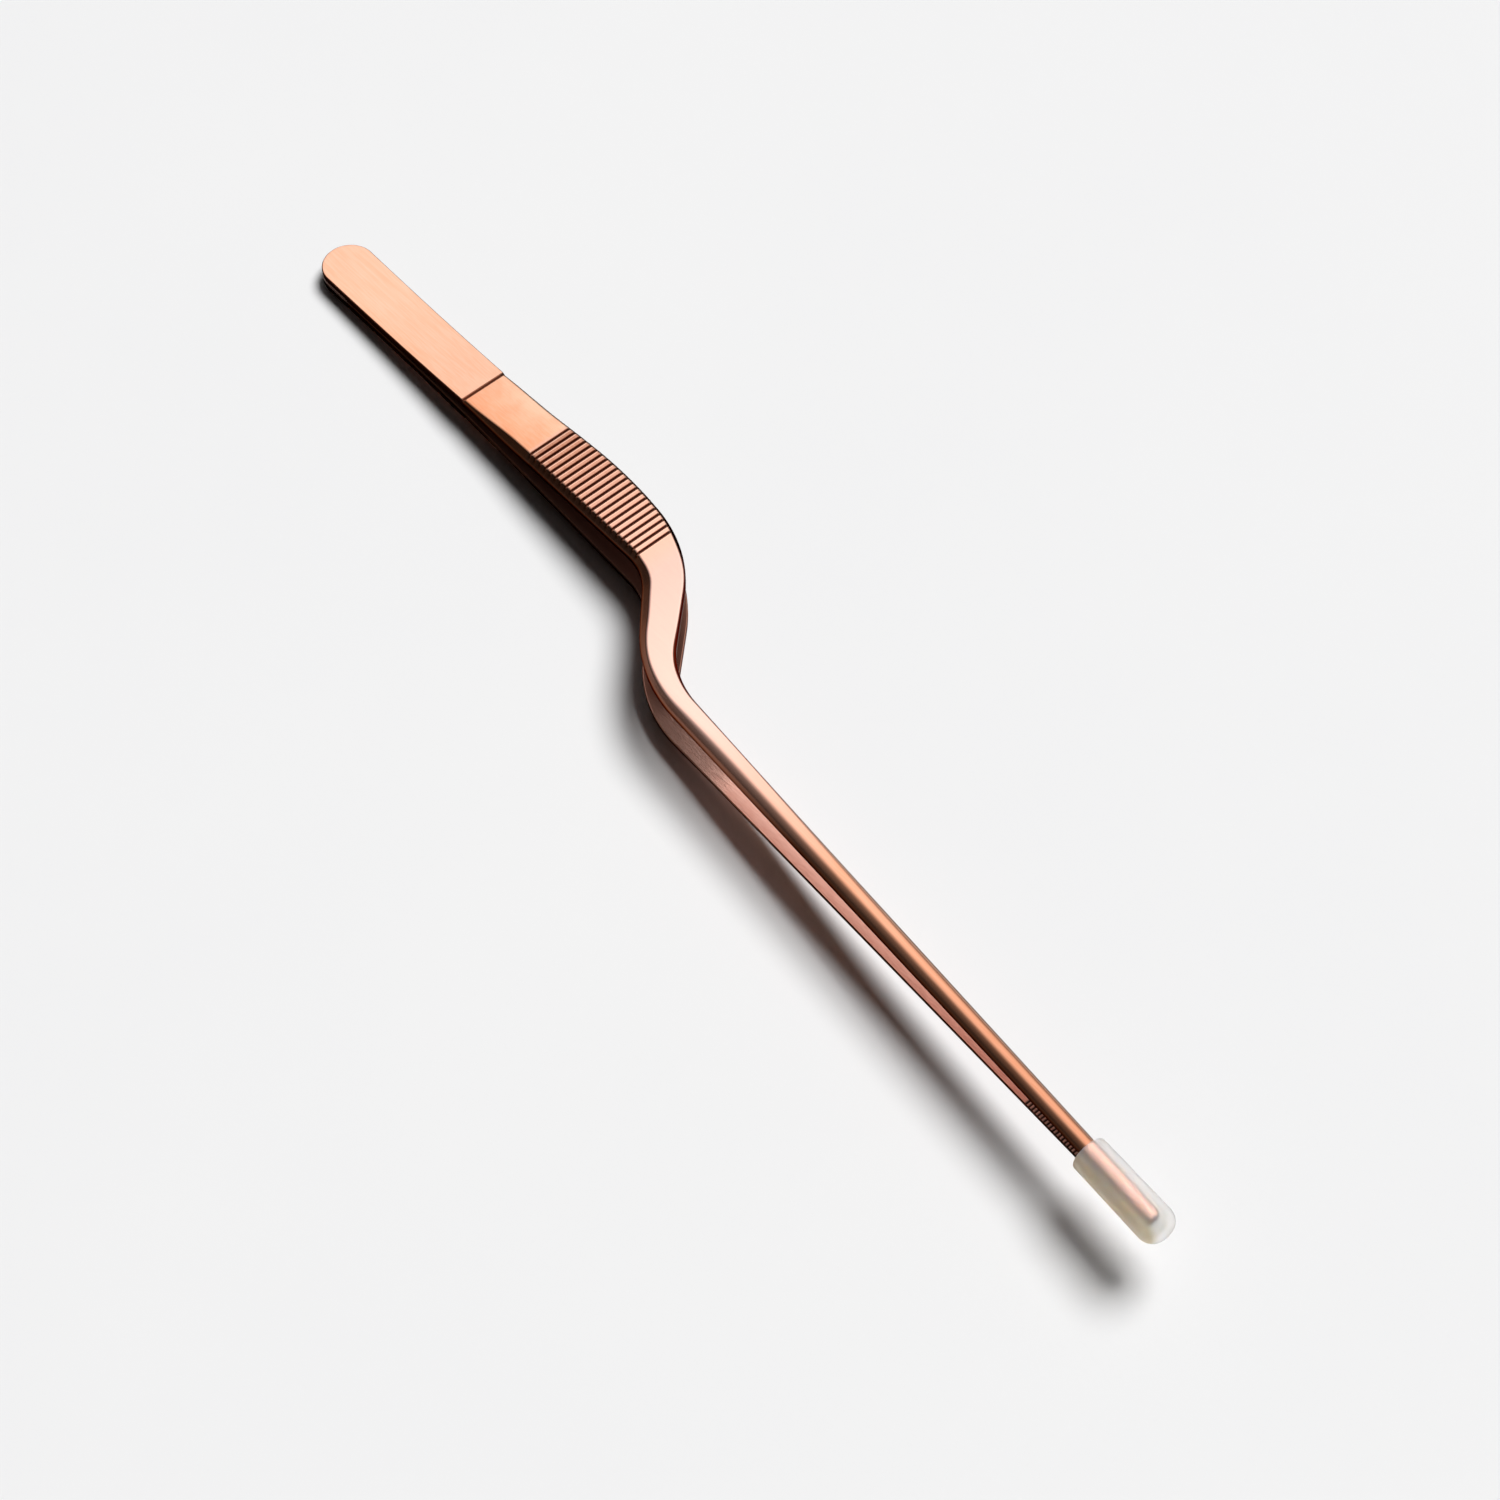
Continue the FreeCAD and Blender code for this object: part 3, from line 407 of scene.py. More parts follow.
def arm_mesh(name, mirror):
    """One whole arm; mirror is 1 for the upper arm and -1 for the lower one.

    A ring of spokes runs round the outline, and each carries a half profile from its edge to
    the middle line.  The marks tell the material which part of the arm a point lies on."""
    rows = stations()
    count = len(rows)
    spokes = [(i, 0) for i in range(count)] + [(i, 1) for i in range(count - 2, 0, -1)]
    vertices, edge_marks, inner_marks, groove_marks, crest_highlight_marks = [], [], [], [], []
    for i, far in spokes:
        nx, ny, nh, fx, fy, fh, mx, my = rows[i]
        if far:
            edge, normal = np.array([fx, fy]), np.array([math.sin(fh), -math.cos(fh)])
        else:
            edge, normal = np.array([nx, ny]), np.array([-math.sin(nh), math.cos(nh)])
        middle = np.array([mx, my])
        half = float(np.linalg.norm(middle - edge))
        thickness = float(outer_z(mx) - inner_z(mx))
        width, depth = bevel_size(mx, far)
        width = min(width, WIDEST_BEVEL * half)
        roundness = float(ease(mx, *(FAR_ROUNDING if far else NEAR_ROUNDING)))
        profile, marks = half_profile(half, thickness, width, depth, roundness)
        plan = plan_points(profile, half, edge, normal, middle, mx)
        low, high = inner_z(plan[:, 0]), outer_z(plan[:, 0])
        z = low + (high - low) * profile[:, 1] / thickness
        cut = np.interp(plan[:, 0], CUTS[:, 0], CUTS[:, 1], left=0, right=0)
        limit = high - cut
        grooved = (z > limit + 1e-6) * (cut / GROOVE_DEPTH)
        z = np.minimum(z, limit)
        tooth = np.interp(plan[:, 0], TOOTH_CUTS[:, 0], TOOTH_CUTS[:, 1], left=0, right=0)
        z = np.maximum(z, low + tooth)
        toothed = np.zeros(len(profile))
        toothed[:INNER_POINTS] = tooth[:INNER_POINTS] / TOOTH_DEPTH
        for (px, py), pz in zip(plan, z):
            vertices.append((px, py, pz * mirror))
        # where the outer face is rounded, the edge's painted shade fades out up the side
        low_side = 1 - ease(profile[:, 1] / thickness, 0.55, 0.88 if far else 1.0)
        low_side[:INNER_POINTS] = 0
        edge_marks += list(marks * (1 - roundness) + low_side * roundness)
        inner_marks += [1.0 if j < INNER_POINTS else 0.0 for j in range(len(profile))]
        groove_marks += list(np.maximum(grooved, toothed))
        # painted highlight: a pale line painted along the rounded shank's far shoulder
        reach = profile[:, 0] / half
        shoulder = ease(reach, 0.06, 0.22) * (1 - ease(reach, 0.2, 0.5))
        crest_highlight = shoulder * far * float(ease(mx, *SHANK_HIGHLIGHT))
        crest_highlight[:LOW_POINTS] = 0
        crest_highlight_marks += list(crest_highlight)
    # the near and far halves meet along the middle line, at the first and last profile points
    total = len(spokes)
    per_spoke = len(vertices) // total
    faces = []
    for k in range(total):
        a, b = k * per_spoke, ((k + 1) % total) * per_spoke
        for j in range(per_spoke - 1):
            faces.append((a + j, b + j, b + j + 1, a + j + 1))
    mesh = bpy.data.meshes.new(name)
    mesh.from_pydata([POSE @ Vector(v) * MM for v in vertices], [], faces)
    store(mesh, "edge", edge_marks)
    store(mesh, "inner", inner_marks)
    store(mesh, "groove", groove_marks)
    store(mesh, "crest_highlight", crest_highlight_marks)
    layer = mesh.attributes.new("tool", "FLOAT_VECTOR", "POINT")
    layer.data.foreach_set("vector", np.array(vertices).astype(np.float32).ravel())
    return finished_piece(mesh, name, join_within=2e-7, sharp_over=32)


def store(mesh, name, values):
    layer = mesh.attributes.new(name, "FLOAT", "POINT")
    layer.data.foreach_set("value", np.array(values, np.float32))


def finished_piece(mesh, name, join_within, sharp_over):
    """An object in the scene: coincident points joined, empty faces dropped, every face turned
    outwards, and shaded smooth except at edges sharper than sharp_over degrees."""
    work = bmesh.new()
    work.from_mesh(mesh)
    bmesh.ops.remove_doubles(work, verts=work.verts, dist=join_within)
    bmesh.ops.dissolve_degenerate(work, dist=join_within, edges=work.edges)
    bmesh.ops.recalc_face_normals(work, faces=work.faces)
    work.to_mesh(mesh)
    work.free()
    mesh.polygons.foreach_set("use_smooth", [True] * len(mesh.polygons))
    mesh.update()
    mesh.set_sharp_from_angle(angle=rad(sharp_over))
    piece = bpy.data.objects.new(name, mesh)
    bpy.context.collection.objects.link(piece)
    return piece


# ---------------------------------------------------------------- silicone cover and weld

COVER_SEAT = Vector((194.9, -20.72, 0))
COVER_SLOPE = rad(2.79)
COVER_SEGMENTS = 72
COVER_LENGTH, MOUTH_RADIUS, NOSE_RADIUS, NOSE_FLAT, LIP_ROUND = 15.6, 2.75, 2.85, 0.5, 0.3
SLOT = (3.1, 4.4, 1.0)            # width, height and corner radius of the blind slot
SLOT_MOUTH = (3.3, 4.6, 1.1)      # the same where it opens
# the slot's rounded end as (x, share of the slot's size)
SLOT_END = ((13.8, 0.0), (13.8, 0.5), (13.8, 0.85), (13.72, 0.96), (13.5, 1.0))


def slot_radius(width, height, corner):
    """Distance from the axis to a rounded rectangle's rim, by angle."""
    def radius_at(a):
        c, s = abs(math.cos(a)), abs(math.sin(a))
        w, h = width / 2, height / 2
        low, high = 0.0, 2 * max(w, h)
        for _ in range(30):
            r = (low + high) / 2
            dx, dz = max(r * c - (w - corner), 0), max(r * s - (h - corner), 0)
            inside = math.hypot(dx, dz) <= corner
            low, high = (r, high) if inside else (low, r)
        return low
    return radius_at


def cover_outside():
    """(x, radius) pairs from the rolled lip at the mouth to the middle of the round nose."""
    length, mouth, nose, flat, lip = (COVER_LENGTH, MOUTH_RADIUS, NOSE_RADIUS, NOSE_FLAT,
                                      LIP_ROUND)
    outer = []
    for a in np.linspace(-math.pi / 2, 0, 6):
        outer.append((lip + lip * math.sin(a), mouth - lip + lip * math.cos(a)))
    for x in np.linspace(1.0, length - (nose - flat), 14):
        outer.append((x, mouth + (nose - mouth) * x / (length - nose + flat)))
    radius = nose - flat
    for a in np.linspace(0, math.pi / 2, 12)[1:]:
        outer.append((length - radius + radius * math.sin(a), flat + radius * math.cos(a)))
    return outer + [(length + 0.02, 0.5), (length + 0.03, 0.0)]


def tip_cover(name):
    """The silicone sleeve: turned outside, rounded slot inside, lip rolled at the mouth."""
    pose = POSE @ (Matrix.Translation(COVER_SEAT) @ Matrix.Rotation(-COVER_SLOPE, 4, "Z"))
    vertices, faces, sides, rims = [], [], [], []

    def ring(x, radius_at):
        rims.append(len(vertices))
        for k in range(COVER_SEGMENTS):
            a = 2 * math.pi * k / COVER_SEGMENTS
            r = radius_at(a)
            vertices.append(pose @ Vector((x, r * math.cos(a), r * math.sin(a))) * MM)
            sides.append(r * math.cos(a) / NOSE_RADIUS)

    slot, wider = slot_radius(*SLOT), slot_radius(*SLOT_MOUTH)
    for x, scale in SLOT_END:
        ring(x, lambda a, k=scale: slot(a) * k)
    for x in np.linspace(12, 0.6, 10):
        ring(x, slot)
    ring(0.25, lambda a: 0.5 * (slot(a) + wider(a)))
    ring(0.05, wider)
    # the lip stays outside the slot's mouth
    lip_wall, lip_end, lip_radius = 0.03, 0.3, 2.6
    for x, r in cover_outside():
        if x < lip_end and r < lip_radius:
            ring(x, lambda a, r=r: max(r, wider(a) + lip_wall))
        else:
            ring(x, lambda a, r=r: r)
    for a, b in zip(rims, rims[1:]):
        for k in range(COVER_SEGMENTS):
            n = (k + 1) % COVER_SEGMENTS
            faces.append((a + k, a + n, b + n, b + k))
    mesh = bpy.data.meshes.new(name)
    mesh.from_pydata(vertices, [], faces)
    store(mesh, "side", sides)
    return finished_piece(mesh, name, join_within=1e-6, sharp_over=50)


# the bead's cross-section as (out, z): it is rooted inside the arms and stands a little proud
BEAD_SECTION = [(-0.30, 0.0), (0.0, -0.40), (0.02, -0.33), (0.05, -0.18), (0.06, 0.0),
                (0.05, 0.18), (0.02, 0.33), (0.0, 0.40)]
BEAD_END = 11.0
BEAD_SIDE_POINTS, BEAD_HEEL_POINTS, BEAD_FADE_POINTS = 16, 41, 7
BEAD_SINK = 0.07
BEAD_WAVE, BEAD_WAVE_TURN, BEAD_NOISE, BEAD_SEED = 0.12, 1.9, 0.05, 7


def weld_bead(name):
    """A low, slightly rippled bead along the seam round the heel."""
    outline = []
    for x in np.linspace(BEAD_END, rear_start, BEAD_SIDE_POINTS)[:-1]:
        outline.append((x, NEAR.at(NEAR.s_at_x(x))[1], -math.pi / 2))
    for a in np.linspace(-math.pi / 2, -3 * math.pi / 2, BEAD_HEEL_POINTS):
        outline.append((HEEL_RADIUS + HEEL_RADIUS * math.cos(a), HEEL_RADIUS * math.sin(a), a))
    for x in np.linspace(rear_start, BEAD_END, BEAD_SIDE_POINTS)[1:]:
        outline.append((x, FAR.at(FAR.s_at_x(x))[1], math.pi / 2))
    count = len(outline)
    rng = np.random.default_rng(BEAD_SEED)
    wave = BEAD_WAVE * np.sin(np.arange(count) * BEAD_WAVE_TURN)
    ripple = 1 + wave + rng.normal(0, BEAD_NOISE, count)
    vertices, faces = [], []
    for i, ((x, y, a), k) in enumerate(zip(outline, ripple)):
        # towards both ends the bead sinks into the arms' sides
        sunk = 1 - min(1.0, min(i, count - 1 - i) / BEAD_FADE_POINTS)
        for out, z in BEAD_SECTION:
            proud = out * k * (1 - sunk) - BEAD_SINK * sunk if out > 0 else out
            place = Vector((x + proud * math.cos(a), y + proud * math.sin(a), z))
            vertices.append(POSE @ place * MM)
    n = len(BEAD_SECTION)
    last = (count - 1) * n
    for a in range(0, last, n):
        for j in range(n):
            following = (j + 1) % n
            faces.append((a + j, a + following, a + n + following, a + n + j))
    faces.append(tuple(range(n)))
    faces.append(tuple(last + j for j in reversed(range(n))))
    mesh = bpy.data.meshes.new(name)
    mesh.from_pydata(vertices, [], faces)
    return finished_piece(mesh, name, join_within=1e-8, sharp_over=60)


# ---------------------------------------------------------------- materials

class Nodes:
    """Short names for building a material's node tree."""

    def __init__(self, name):
        self.material = bpy.data.materials.new(name)
        self.material.use_nodes = True
        self.tree = self.material.node_tree
        self.tree.nodes.clear()
        self.output = self.add("ShaderNodeOutputMaterial")

    def add(self, kind, **settings):
        node = self.tree.nodes.new(kind)
        for key, value in settings.items():
            setattr(node, key, value)
        return node

    def link(self, source, target):
        self.tree.links.new(source, target)

    def value(self, socket, source):
        if hasattr(source, "is_output"):
            self.link(source, socket)
        else:
            socket.default_value = source

    def shader(self, kind="ShaderNodeBsdfPrincipled", **inputs):
        """A shader whose named inputs take a number, a colour or a link."""
        node = self.add(kind)
        for key, source in inputs.items():
            self.value(node.inputs[key.replace("_", " ")], source)
        return node

    def blended(self, factor, a, b):
        node = self.add("ShaderNodeMixShader")
        self.link(factor, node.inputs[0])
        self.link(a.outputs[0], node.inputs[1])
        self.link(b.outputs[0], node.inputs[2])
        return node

    def surface(self, shader):
        self.link(shader.outputs[0], self.output.inputs["Surface"])
        return self.material

    def mark(self, name, output="Fac"):
        return self.add("ShaderNodeAttribute", attribute_name=name).outputs[output]

    def math(self, operation, a, b):
        node = self.add("ShaderNodeMath", operation=operation)
        self.value(node.inputs[0], a)
        self.value(node.inputs[1], b)
        return node.outputs[0]

    def times(self, a, b):
        return self.math("MULTIPLY", a, b)

    def mix(self, factor, a, b):
        node = self.add("ShaderNodeMix", data_type="RGBA")
        self.value(node.inputs["Factor"], factor)
        self.value(node.inputs[6], a)
        self.value(node.inputs[7], b)
        return node.outputs[2]

    def noise(self, vector, scale, stretch, detail, roughness):
        mapping = self.add("ShaderNodeMapping")
        self.link(vector, mapping.inputs["Vector"])
        mapping.inputs["Scale"].default_value = stretch
        node = self.add("ShaderNodeTexNoise")
        node.inputs["Scale"].default_value = scale
        node.inputs["Detail"].default_value = detail
        node.inputs["Roughness"].default_value = roughness
        self.link(mapping.outputs[0], node.inputs["Vector"])
        return node.outputs["Fac"]

    def span(self, value, low, high, to_low=0.0, to_high=1.0):
        """value carried from low..high to to_low..to_high, and held at both ends."""
        node = self.add("ShaderNodeMapRange")
        node.clamp = True
        self.value(node.inputs["Value"], value)
        for key, number in (("From Min", low), ("From Max", high),
                            ("To Min", to_low), ("To Max", to_high)):
            self.value(node.inputs[key], number)
        return node.outputs["Result"]

    def bump(self, height, distance, strength=1.0, normal=None):
        node = self.add("ShaderNodeBump")
        node.inputs["Distance"].default_value = distance
        self.value(node.inputs["Strength"], strength)
        self.link(height, node.inputs["Height"])
        if normal is not None:
            self.link(normal, node.inputs["Normal"])
        return node.outputs["Normal"]


def grey(level):
    return (level, level, level, 1)


# the coating's tones, some of them painted light or shade: outer faces from heel to tip, then
# cut edges and inner faces
REAR_COPPER = (0.90, 0.47, 0.31, 1)
REAR_CLOUD = (0.95, 0.55, 0.40, 1)
FACE_COPPER = (0.92, 0.40, 0.215, 1)
FACE_PALE = (0.98, 0.63, 0.44, 1)
FACE_CLOUD = (0.93, 0.35, 0.18, 1)
STREAK_COPPER = (1.0, 0.70, 0.56, 1)
LAND_COPPER = (0.50, 0.21, 0.125, 1)
FRONT_LAND_COPPER = (0.84, 0.47, 0.35, 1)
# painted highlight on the lands' rear rims
RIM_HIGHLIGHT_COPPER = (1.0, 0.60, 0.45, 1)
GROOVE_SHADE_COPPER = (0.11, 0.04, 0.024, 1)
# painted highlight on the neck; the shank's and tips' tones below are deepened as painted shade
NECK_HIGHLIGHT_COPPER = (0.79, 0.475, 0.395, 1)
COPPER = (0.66, 0.30, 0.18, 1)
# painted highlight on the shank's far shoulder
CREST_HIGHLIGHT_COPPER = (0.80, 0.54, 0.42, 1)
TIP_COPPER = (0.56, 0.235, 0.13, 1)
COVERED_COPPER = (0.80, 0.46, 0.36, 1)
# painted shade: dark tones for the cut edges and the teeth's hollows, softer on the neck's
# edges, and a dark tint for the edges' reflections
SHADE_COPPER = (0.035, 0.013, 0.007, 1)
SOFT_SHADE_COPPER = (0.20, 0.085, 0.055, 1)
EDGE_SHADE_TINT = (0.20, 0.10, 0.06, 1)
# painted shade on the inner faces between the arms
GAP_SHADE_COPPER = (0.16, 0.07, 0.05, 1)
# painted light: the inner faces ahead of the neck are paler than the coating; the streak tone
# is brushing
INNER_LIT_COPPER = (0.90, 0.56, 0.46, 1)
INNER_STREAK = (0.78, 0.43, 0.34, 1)
WELD_DARK, WELD_PALE = (0.06, 0.025, 0.015, 1), (0.12, 0.05, 0.032, 1)

# where along the tool one finish gives way to the next
TO_FRONT = (38.9, 39.1)
TO_GRIP = (54.2, 54.9)
LANDS = (57, 82)
GRIP_STOP = (81.9, 82.0)
TO_NECK = (81.8, 86)
TO_SHANK = (112, 142)
TO_TIP = (150, 175)
TO_COVER = (194.6, 195.4)
SATIN_FADE = (50, 90)
SOFT_EDGE_IN, SOFT_EDGE_OUT = (83, 90), (118, 135)
GAP_SHADE_FADE = (97, 116)
CREASES_IN, CREASES_OUT = (100, 105), (112, 119)

# how much of the tone under it the painted shade in a groove or on an edge hides, and how rough
# each finish is
GROOVE_SHADE_COVERS, EDGE_SHADE_COVERS = 0.9, 0.97
POLISHED, SATIN_ADDS, FINE_ADDS = 0.13, 0.17, 0.10
INNER_ROUGH, EDGE_ROUGH, COVERED_ROUGH = grey(0.46), grey(0.2), grey(0.6)

# noise as (scale, stretch, detail, roughness)
BRUSHED = (1.0, (0.16, 5.0, 5.0), 6, 0.6)
FINE = (1.0, (0.5, 16.0, 16.0), 4, 0.6)
CLOUD = (0.22, (1, 1, 1), 3, 0.5)
CREASES = (1.0, (1.0, 2.6, 1.0), 5, 0.65)
WELD_GRAIN = (2600, (1, 1, 1), 4, 0.6)
COVER_CLOUD, COVER_SKIN = (260, (1, 1, 1), 3, 0.5), (3200, (1, 1, 1), 3, 0.6)
FLOOR_CLOUD = (9, (1, 1, 1), 5, 0.6)


def outer_tone(n, x, across, brushed, cloud, satin):
    """Colour of the outer face along the tool, before grooves and edges are laid over it. The
    neck's pale tone and the lands' bright rims are painted highlight; the shank's and tips'
    deeper tones are painted shade.
    """
    face = n.mix(n.span(across, -3.0, 4.5, 0.0, 0.9), FACE_COPPER, FACE_PALE)
    face = n.mix(n.span(cloud, 0.42, 0.62, 0, 0.45), face, FACE_CLOUD)
    rear = n.mix(n.span(across, -4.4, -1.5, 0.45, 0.0), REAR_COPPER, FACE_COPPER)
    rear = n.mix(n.span(cloud, 0.4, 0.7, 0, 0.25), rear, REAR_CLOUD)
    colour = n.mix(n.span(x, *TO_FRONT), rear, face)
    # painted highlight: each land is painted bright along its rear rim, just ahead of a groove,
    # where the groove's wall catches the light
    lands = n.mix(n.span(x, *LANDS), LAND_COPPER, FRONT_LAND_COPPER)
    ahead = n.math("MODULO", n.math("SUBTRACT", x, GROOVE_START + GROOVE_HALF), GROOVE_PITCH)
    rim_highlight = n.times(n.span(ahead, 0.14, 0.20, 0.65, 0.0), n.span(x, *GRIP_STOP, 1, 0))
    lands = n.mix(rim_highlight, lands, RIM_HIGHLIGHT_COPPER)
    # the neck's paler tone is painted highlight; the shank's and tips' deeper tones are painted
    # shade
    for place, tone in ((TO_GRIP, lands), (TO_NECK, NECK_HIGHLIGHT_COPPER), (TO_SHANK, COPPER),
                        (TO_TIP, TIP_COPPER)):
        colour = n.mix(n.span(x, *place), colour, tone)
    streaks = n.mix(n.times(n.span(brushed, 0.4, 0.6), 0.24), colour, STREAK_COPPER)
    return n.mix(satin, colour, streaks)


def coated_steel(name):
    """Copper-toned coating: satin on the rear plate, polished ahead of it, with painted shade
    in the grooves, on the cut edges and between the arms, painted highlights on the lands' rims
    and the shank's far shoulder, and brushed on the inner faces, which ahead of the neck are
    painted paler as painted light."""
    n = Nodes(name)
    place = n.mark("tool", "Vector")
    split = n.add("ShaderNodeSeparateXYZ")
    n.link(place, split.inputs[0])
    x, across = split.outputs["X"], split.outputs["Y"]
    edge, inner, groove = n.mark("edge"), n.mark("inner"), n.mark("groove")
    brushed = n.noise(place, *BRUSHED)
    fine = n.noise(place, *FINE)
    cloud = n.noise(place, *CLOUD)
    satin = n.times(n.span(x, *TO_FRONT, 1, 0.7), n.span(x, *SATIN_FADE, 1, 0.35))
    covered = n.span(x, *TO_COVER)

    colour = outer_tone(n, x, across, brushed, cloud, satin)
    # painted shade in the grooves and the step's notch
    groove_shade = n.times(n.span(groove, 0.08, 0.5), GROOVE_SHADE_COVERS)
    colour = n.mix(groove_shade, colour, GROOVE_SHADE_COPPER)
    # painted highlight along the rounded shank's far shoulder
    colour = n.mix(n.mark("crest_highlight"), colour, CREST_HIGHLIGHT_COPPER)
    # painted shade on the cut edges, softer along the neck
    in_neck = n.times(n.span(x, *SOFT_EDGE_IN), n.span(x, *SOFT_EDGE_OUT, 1, 0))
    edge_shade = n.mix(in_neck, SHADE_COPPER, SOFT_SHADE_COPPER)
    colour = n.mix(n.times(edge, EDGE_SHADE_COVERS), colour, edge_shade)
    covered_face = n.times(covered, n.span(edge, 0.1, 0.6, 1, 0))
    colour = n.mix(covered_face, colour, COVERED_COPPER)
    # painted light: ahead of the neck the inner faces are painted paler, as if lit beneath the
    # upper arm, with brushed streaks
    front_inner = n.mix(n.span(fine, 0.43, 0.57), INNER_LIT_COPPER, INNER_STREAK)
    # painted shade in the hollows between the teeth
    front_inner = n.mix(groove, front_inner, SHADE_COPPER)
    # painted shade: the inner faces are dark between the arms up to the neck and take their lit
    # tone ahead of it
    inner_tone = n.mix(n.span(x, *GAP_SHADE_FADE), GAP_SHADE_COPPER, front_inner)
    colour = n.mix(inner, colour, inner_tone)

    rough = n.math("ADD", n.times(satin, SATIN_ADDS), n.times(fine, FINE_ADDS))
    rough = n.math("ADD", rough, POLISHED)
    rough = n.mix(inner, rough, INNER_ROUGH)
    rough = n.mix(n.times(edge, 0.5), rough, EDGE_ROUGH)
    rough = n.mix(covered, rough, COVERED_ROUGH)

    # fine brushing, over creases where the neck's inner face was formed
    creases = n.noise(place, *CREASES)
    stamped = n.times(n.times(n.span(x, *CREASES_IN), n.span(x, *CREASES_OUT, 1, 0)), inner)
    crumpled = n.bump(n.times(creases, stamped), 0.0006)
    grain = n.times(fine, n.math("MAXIMUM", satin, inner))
    grain = n.math("ADD", grain, n.times(brushed, 0.6))
    # the edges' dark specular tint is painted shade in their reflections
    return n.surface(n.shader(
        Metallic=1.0, Base_Color=colour, Roughness=rough,
        Normal=n.bump(grain, 0.000012, 0.5, crumpled),
        Specular_Tint=n.mix(edge, grey(1), EDGE_SHADE_TINT)))


def weld_steel(name):
    """The coating on the bead: dark, and grainier than on the arms."""
    n = Nodes(name)
    place = n.add("ShaderNodeTexCoord").outputs["Object"]
    grain = n.noise(place, *WELD_GRAIN)
    return n.surface(n.shader(
        Metallic=1.0, Base_Color=n.mix(n.span(grain, 0.35, 0.65), WELD_DARK, WELD_PALE),
        Roughness=n.span(grain, 0.3, 0.7, 0.3, 0.5), Normal=n.bump(grain, 0.00002, 0.6)))


# painted light: cream where light comes through the rubber
LIT_CREAM, PALE_LIT_CREAM = (0.99, 0.82, 0.58, 1), (0.99, 0.87, 0.68, 1)
MILK = (0.86, 0.83, 0.80, 1)
CLEAR = (0.97, 0.96, 0.94, 1)


def milky_silicone(name):
    """Translucent rubber: a rough clear body veiled with a milky scattering layer, which is
    thicker along the side that faces away from the window; that side is tinted cream as painted
    light coming through."""
    n = Nodes(name)
    place = n.add("ShaderNodeTexCoord").outputs["Object"]
    cloud = n.noise(place, *COVER_CLOUD)
    skin = n.noise(place, *COVER_SKIN)
    side = n.mark("side")
    # painted light: cream on the side away from the window, where light comes through the
    # rubber
    lit_cream = n.mix(n.span(cloud, 0.35, 0.65), LIT_CREAM, PALE_LIT_CREAM)
    tint = n.mix(n.span(side, -0.75, -0.2), lit_cream, MILK)
    normal = n.bump(skin, 0.00001, 0.4)
    clear = n.shader(Transmission_Weight=1.0, Roughness=0.36, IOR=1.12, Base_Color=CLEAR,
                     Normal=normal)
    milk = n.shader(Roughness=0.42, Subsurface_Weight=1.0, Subsurface_Radius=(1.0, 0.88, 0.68),
                    Subsurface_Scale=0.004, Base_Color=tint, Normal=normal)
    glow = n.shader("ShaderNodeBsdfTranslucent", Color=tint)
    body = n.blended(n.span(side, -0.8, -0.4, 0.55, 0.2), milk, glow)
    return n.surface(n.blended(n.span(side, -0.78, -0.42, 0.08, 0.8), body, clear))


def pale_floor(name):
    """A faintly uneven white with little shine."""
    n = Nodes(name)
    place = n.add("ShaderNodeTexCoord").outputs["Object"]
    cloud = n.noise(place, *FLOOR_CLOUD)
    tone = n.mix(n.span(cloud, 0.3, 0.7), (0.835, 0.835, 0.84, 1), grey(0.85))
    return n.surface(n.shader(Roughness=0.55, Specular_IOR_Level=0.25, Base_Color=tone))


# ---------------------------------------------------------------- the tool

STEEL = coated_steel("coated_steel")
upper = arm_mesh("upper_arm_formed", 1)
lower = arm_mesh("lower_arm_formed", -1)
for piece in (upper, lower):
    piece.data.materials.append(STEEL)
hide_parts("arm_upper")
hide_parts("arm_lower")

bead = weld_bead("heel_weld_bead")
bead.data.materials.append(weld_steel("weld_steel"))
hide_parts("heel_weld")

cover = tip_cover("tip_cover_soft")
cover.data.materials.append(milky_silicone("milky_silicone"))
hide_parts("tip_cap")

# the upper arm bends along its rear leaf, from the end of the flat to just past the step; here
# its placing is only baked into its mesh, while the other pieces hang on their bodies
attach(lower, "lower_arm")
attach(bead, "lower_arm")
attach(cover, "cover")
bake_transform(upper)

# ---------------------------------------------------------------- floor, light and camera

FLOOR_REACH = 6.0
floor_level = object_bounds()[0].z
floor_mesh = bpy.data.meshes.new("floor")
floor_mesh.from_pydata([(x * FLOOR_REACH, y * FLOOR_REACH, floor_level)
                        for x, y in ((-1, -1), (1, -1), (1, 1), (-1, 1))], [], [(0, 1, 2, 3)])
floor = bpy.data.objects.new("floor", floor_mesh)
bpy.context.collection.objects.link(floor)
floor_mesh.materials.append(pale_floor("pale_floor"))


def aim(thing, target):
    direction = Vector(target) - thing.location
    thing.rotation_mode = "QUATERNION"
    thing.rotation_quaternion = direction.to_track_quat("-Z", "Y")


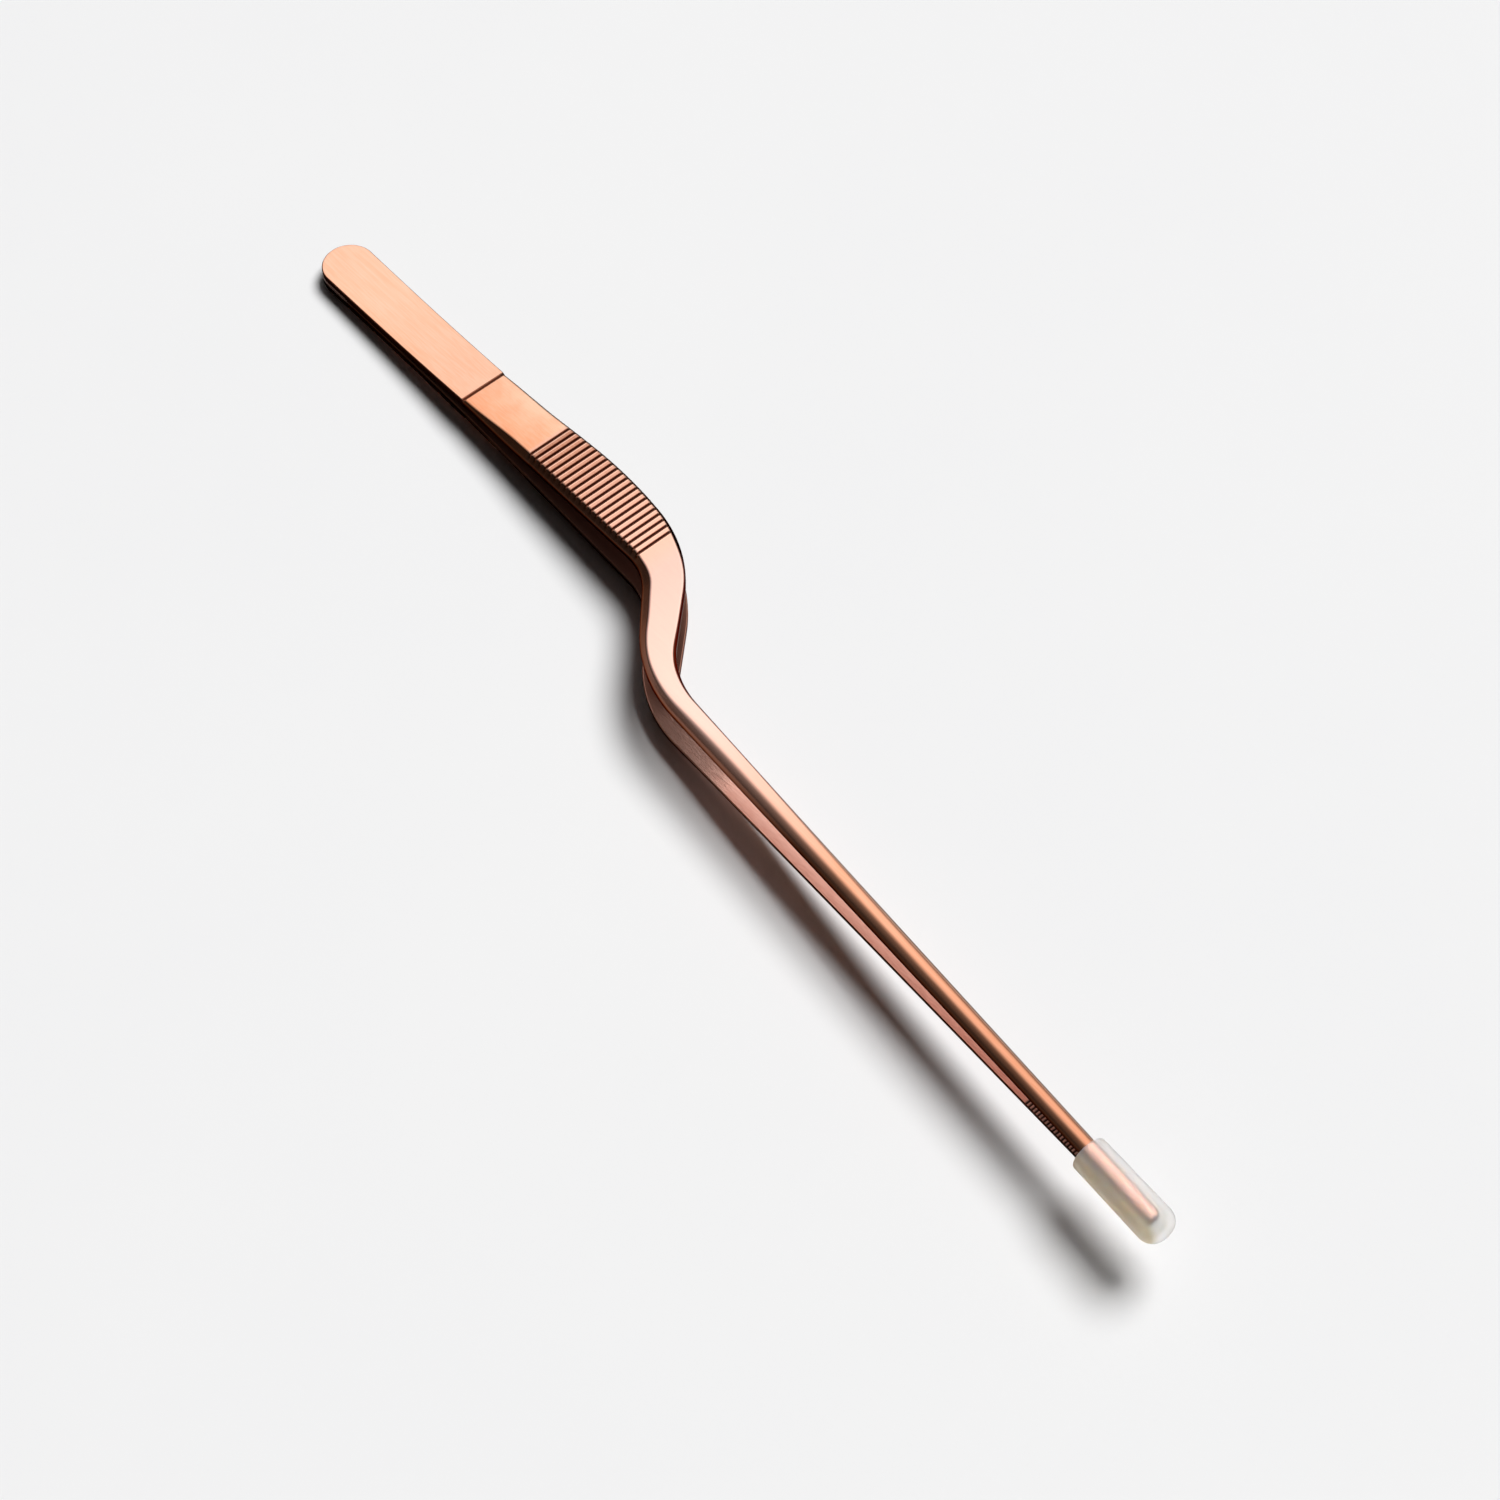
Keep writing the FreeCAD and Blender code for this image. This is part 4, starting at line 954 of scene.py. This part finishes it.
def towards(azimuth, elevation):
    """A unit vector; azimuth is counted from +Y towards -X, and both angles are in degrees."""
    a, e = rad(azimuth), rad(elevation)
    return Vector((-math.sin(a) * math.cos(e), math.cos(a) * math.cos(e), math.sin(e)))


def window_light(name, place, spread, strength):
    """A far, compact light at place that fills an angle of spread degrees."""
    data = bpy.data.lights.new(name, "SUN")
    data.angle = rad(spread)
    data.energy = strength
    light = bpy.data.objects.new(name, data)
    bpy.context.collection.objects.link(light)
    light.location = place
    aim(light, (0, 0, 0))
    return light


def mirrored_room(name, brightest, stops, strength):
    """What the polished steel mirrors: a bright patch towards brightest, fading to a dark room.
    It doesn't light the floor."""
    world = bpy.data.worlds.new(name)
    bpy.context.scene.world = world
    world.use_nodes = True
    world.cycles_visibility.diffuse = False
    sky = world.node_tree
    direction = sky.nodes.new("ShaderNodeTexCoord").outputs["Generated"]
    dot = sky.nodes.new("ShaderNodeVectorMath")
    dot.operation = "DOT_PRODUCT"
    sky.links.new(direction, dot.inputs[0])
    dot.inputs[1].default_value = brightest
    ramp = sky.nodes.new("ShaderNodeValToRGB")
    sky.links.new(dot.outputs["Value"], ramp.inputs[0])
    elements = ramp.color_ramp.elements
    while len(elements) < len(stops):
        elements.new(0.5)
    for element, (position, level) in zip(elements, stops):
        element.position = position
        element.color = grey(level)
    background = sky.nodes["Background"]
    sky.links.new(ramp.outputs["Color"], background.inputs["Color"])
    background.inputs["Strength"].default_value = strength


key = window_light("window", towards(3, 60), spread=32, strength=3.75)
key.visible_glossy = False
ROOM_STOPS = ((0.0, 0.14), (0.35, 0.13), (0.56, 0.16), (0.72, 0.34), (0.86, 0.78), (0.95, 1.0))
mirrored_room("studio", towards(20, 60), ROOM_STOPS, strength=1.75)

CAMERA_PLACE = Vector((215.8, -177.5, 427.6)) * MM
CAMERA_TARGET = (0.0079, 0.0, 0.0)
camera_data = bpy.data.cameras.new("camera")
camera_data.sensor_width = 36.0
camera_data.lens = 84.0
camera = bpy.data.objects.new("camera", camera_data)
bpy.context.collection.objects.link(camera)
camera.location = CAMERA_PLACE
aim(camera, CAMERA_TARGET)
bpy.context.scene.camera = camera
bpy.context.scene.view_settings.view_transform = "Standard"
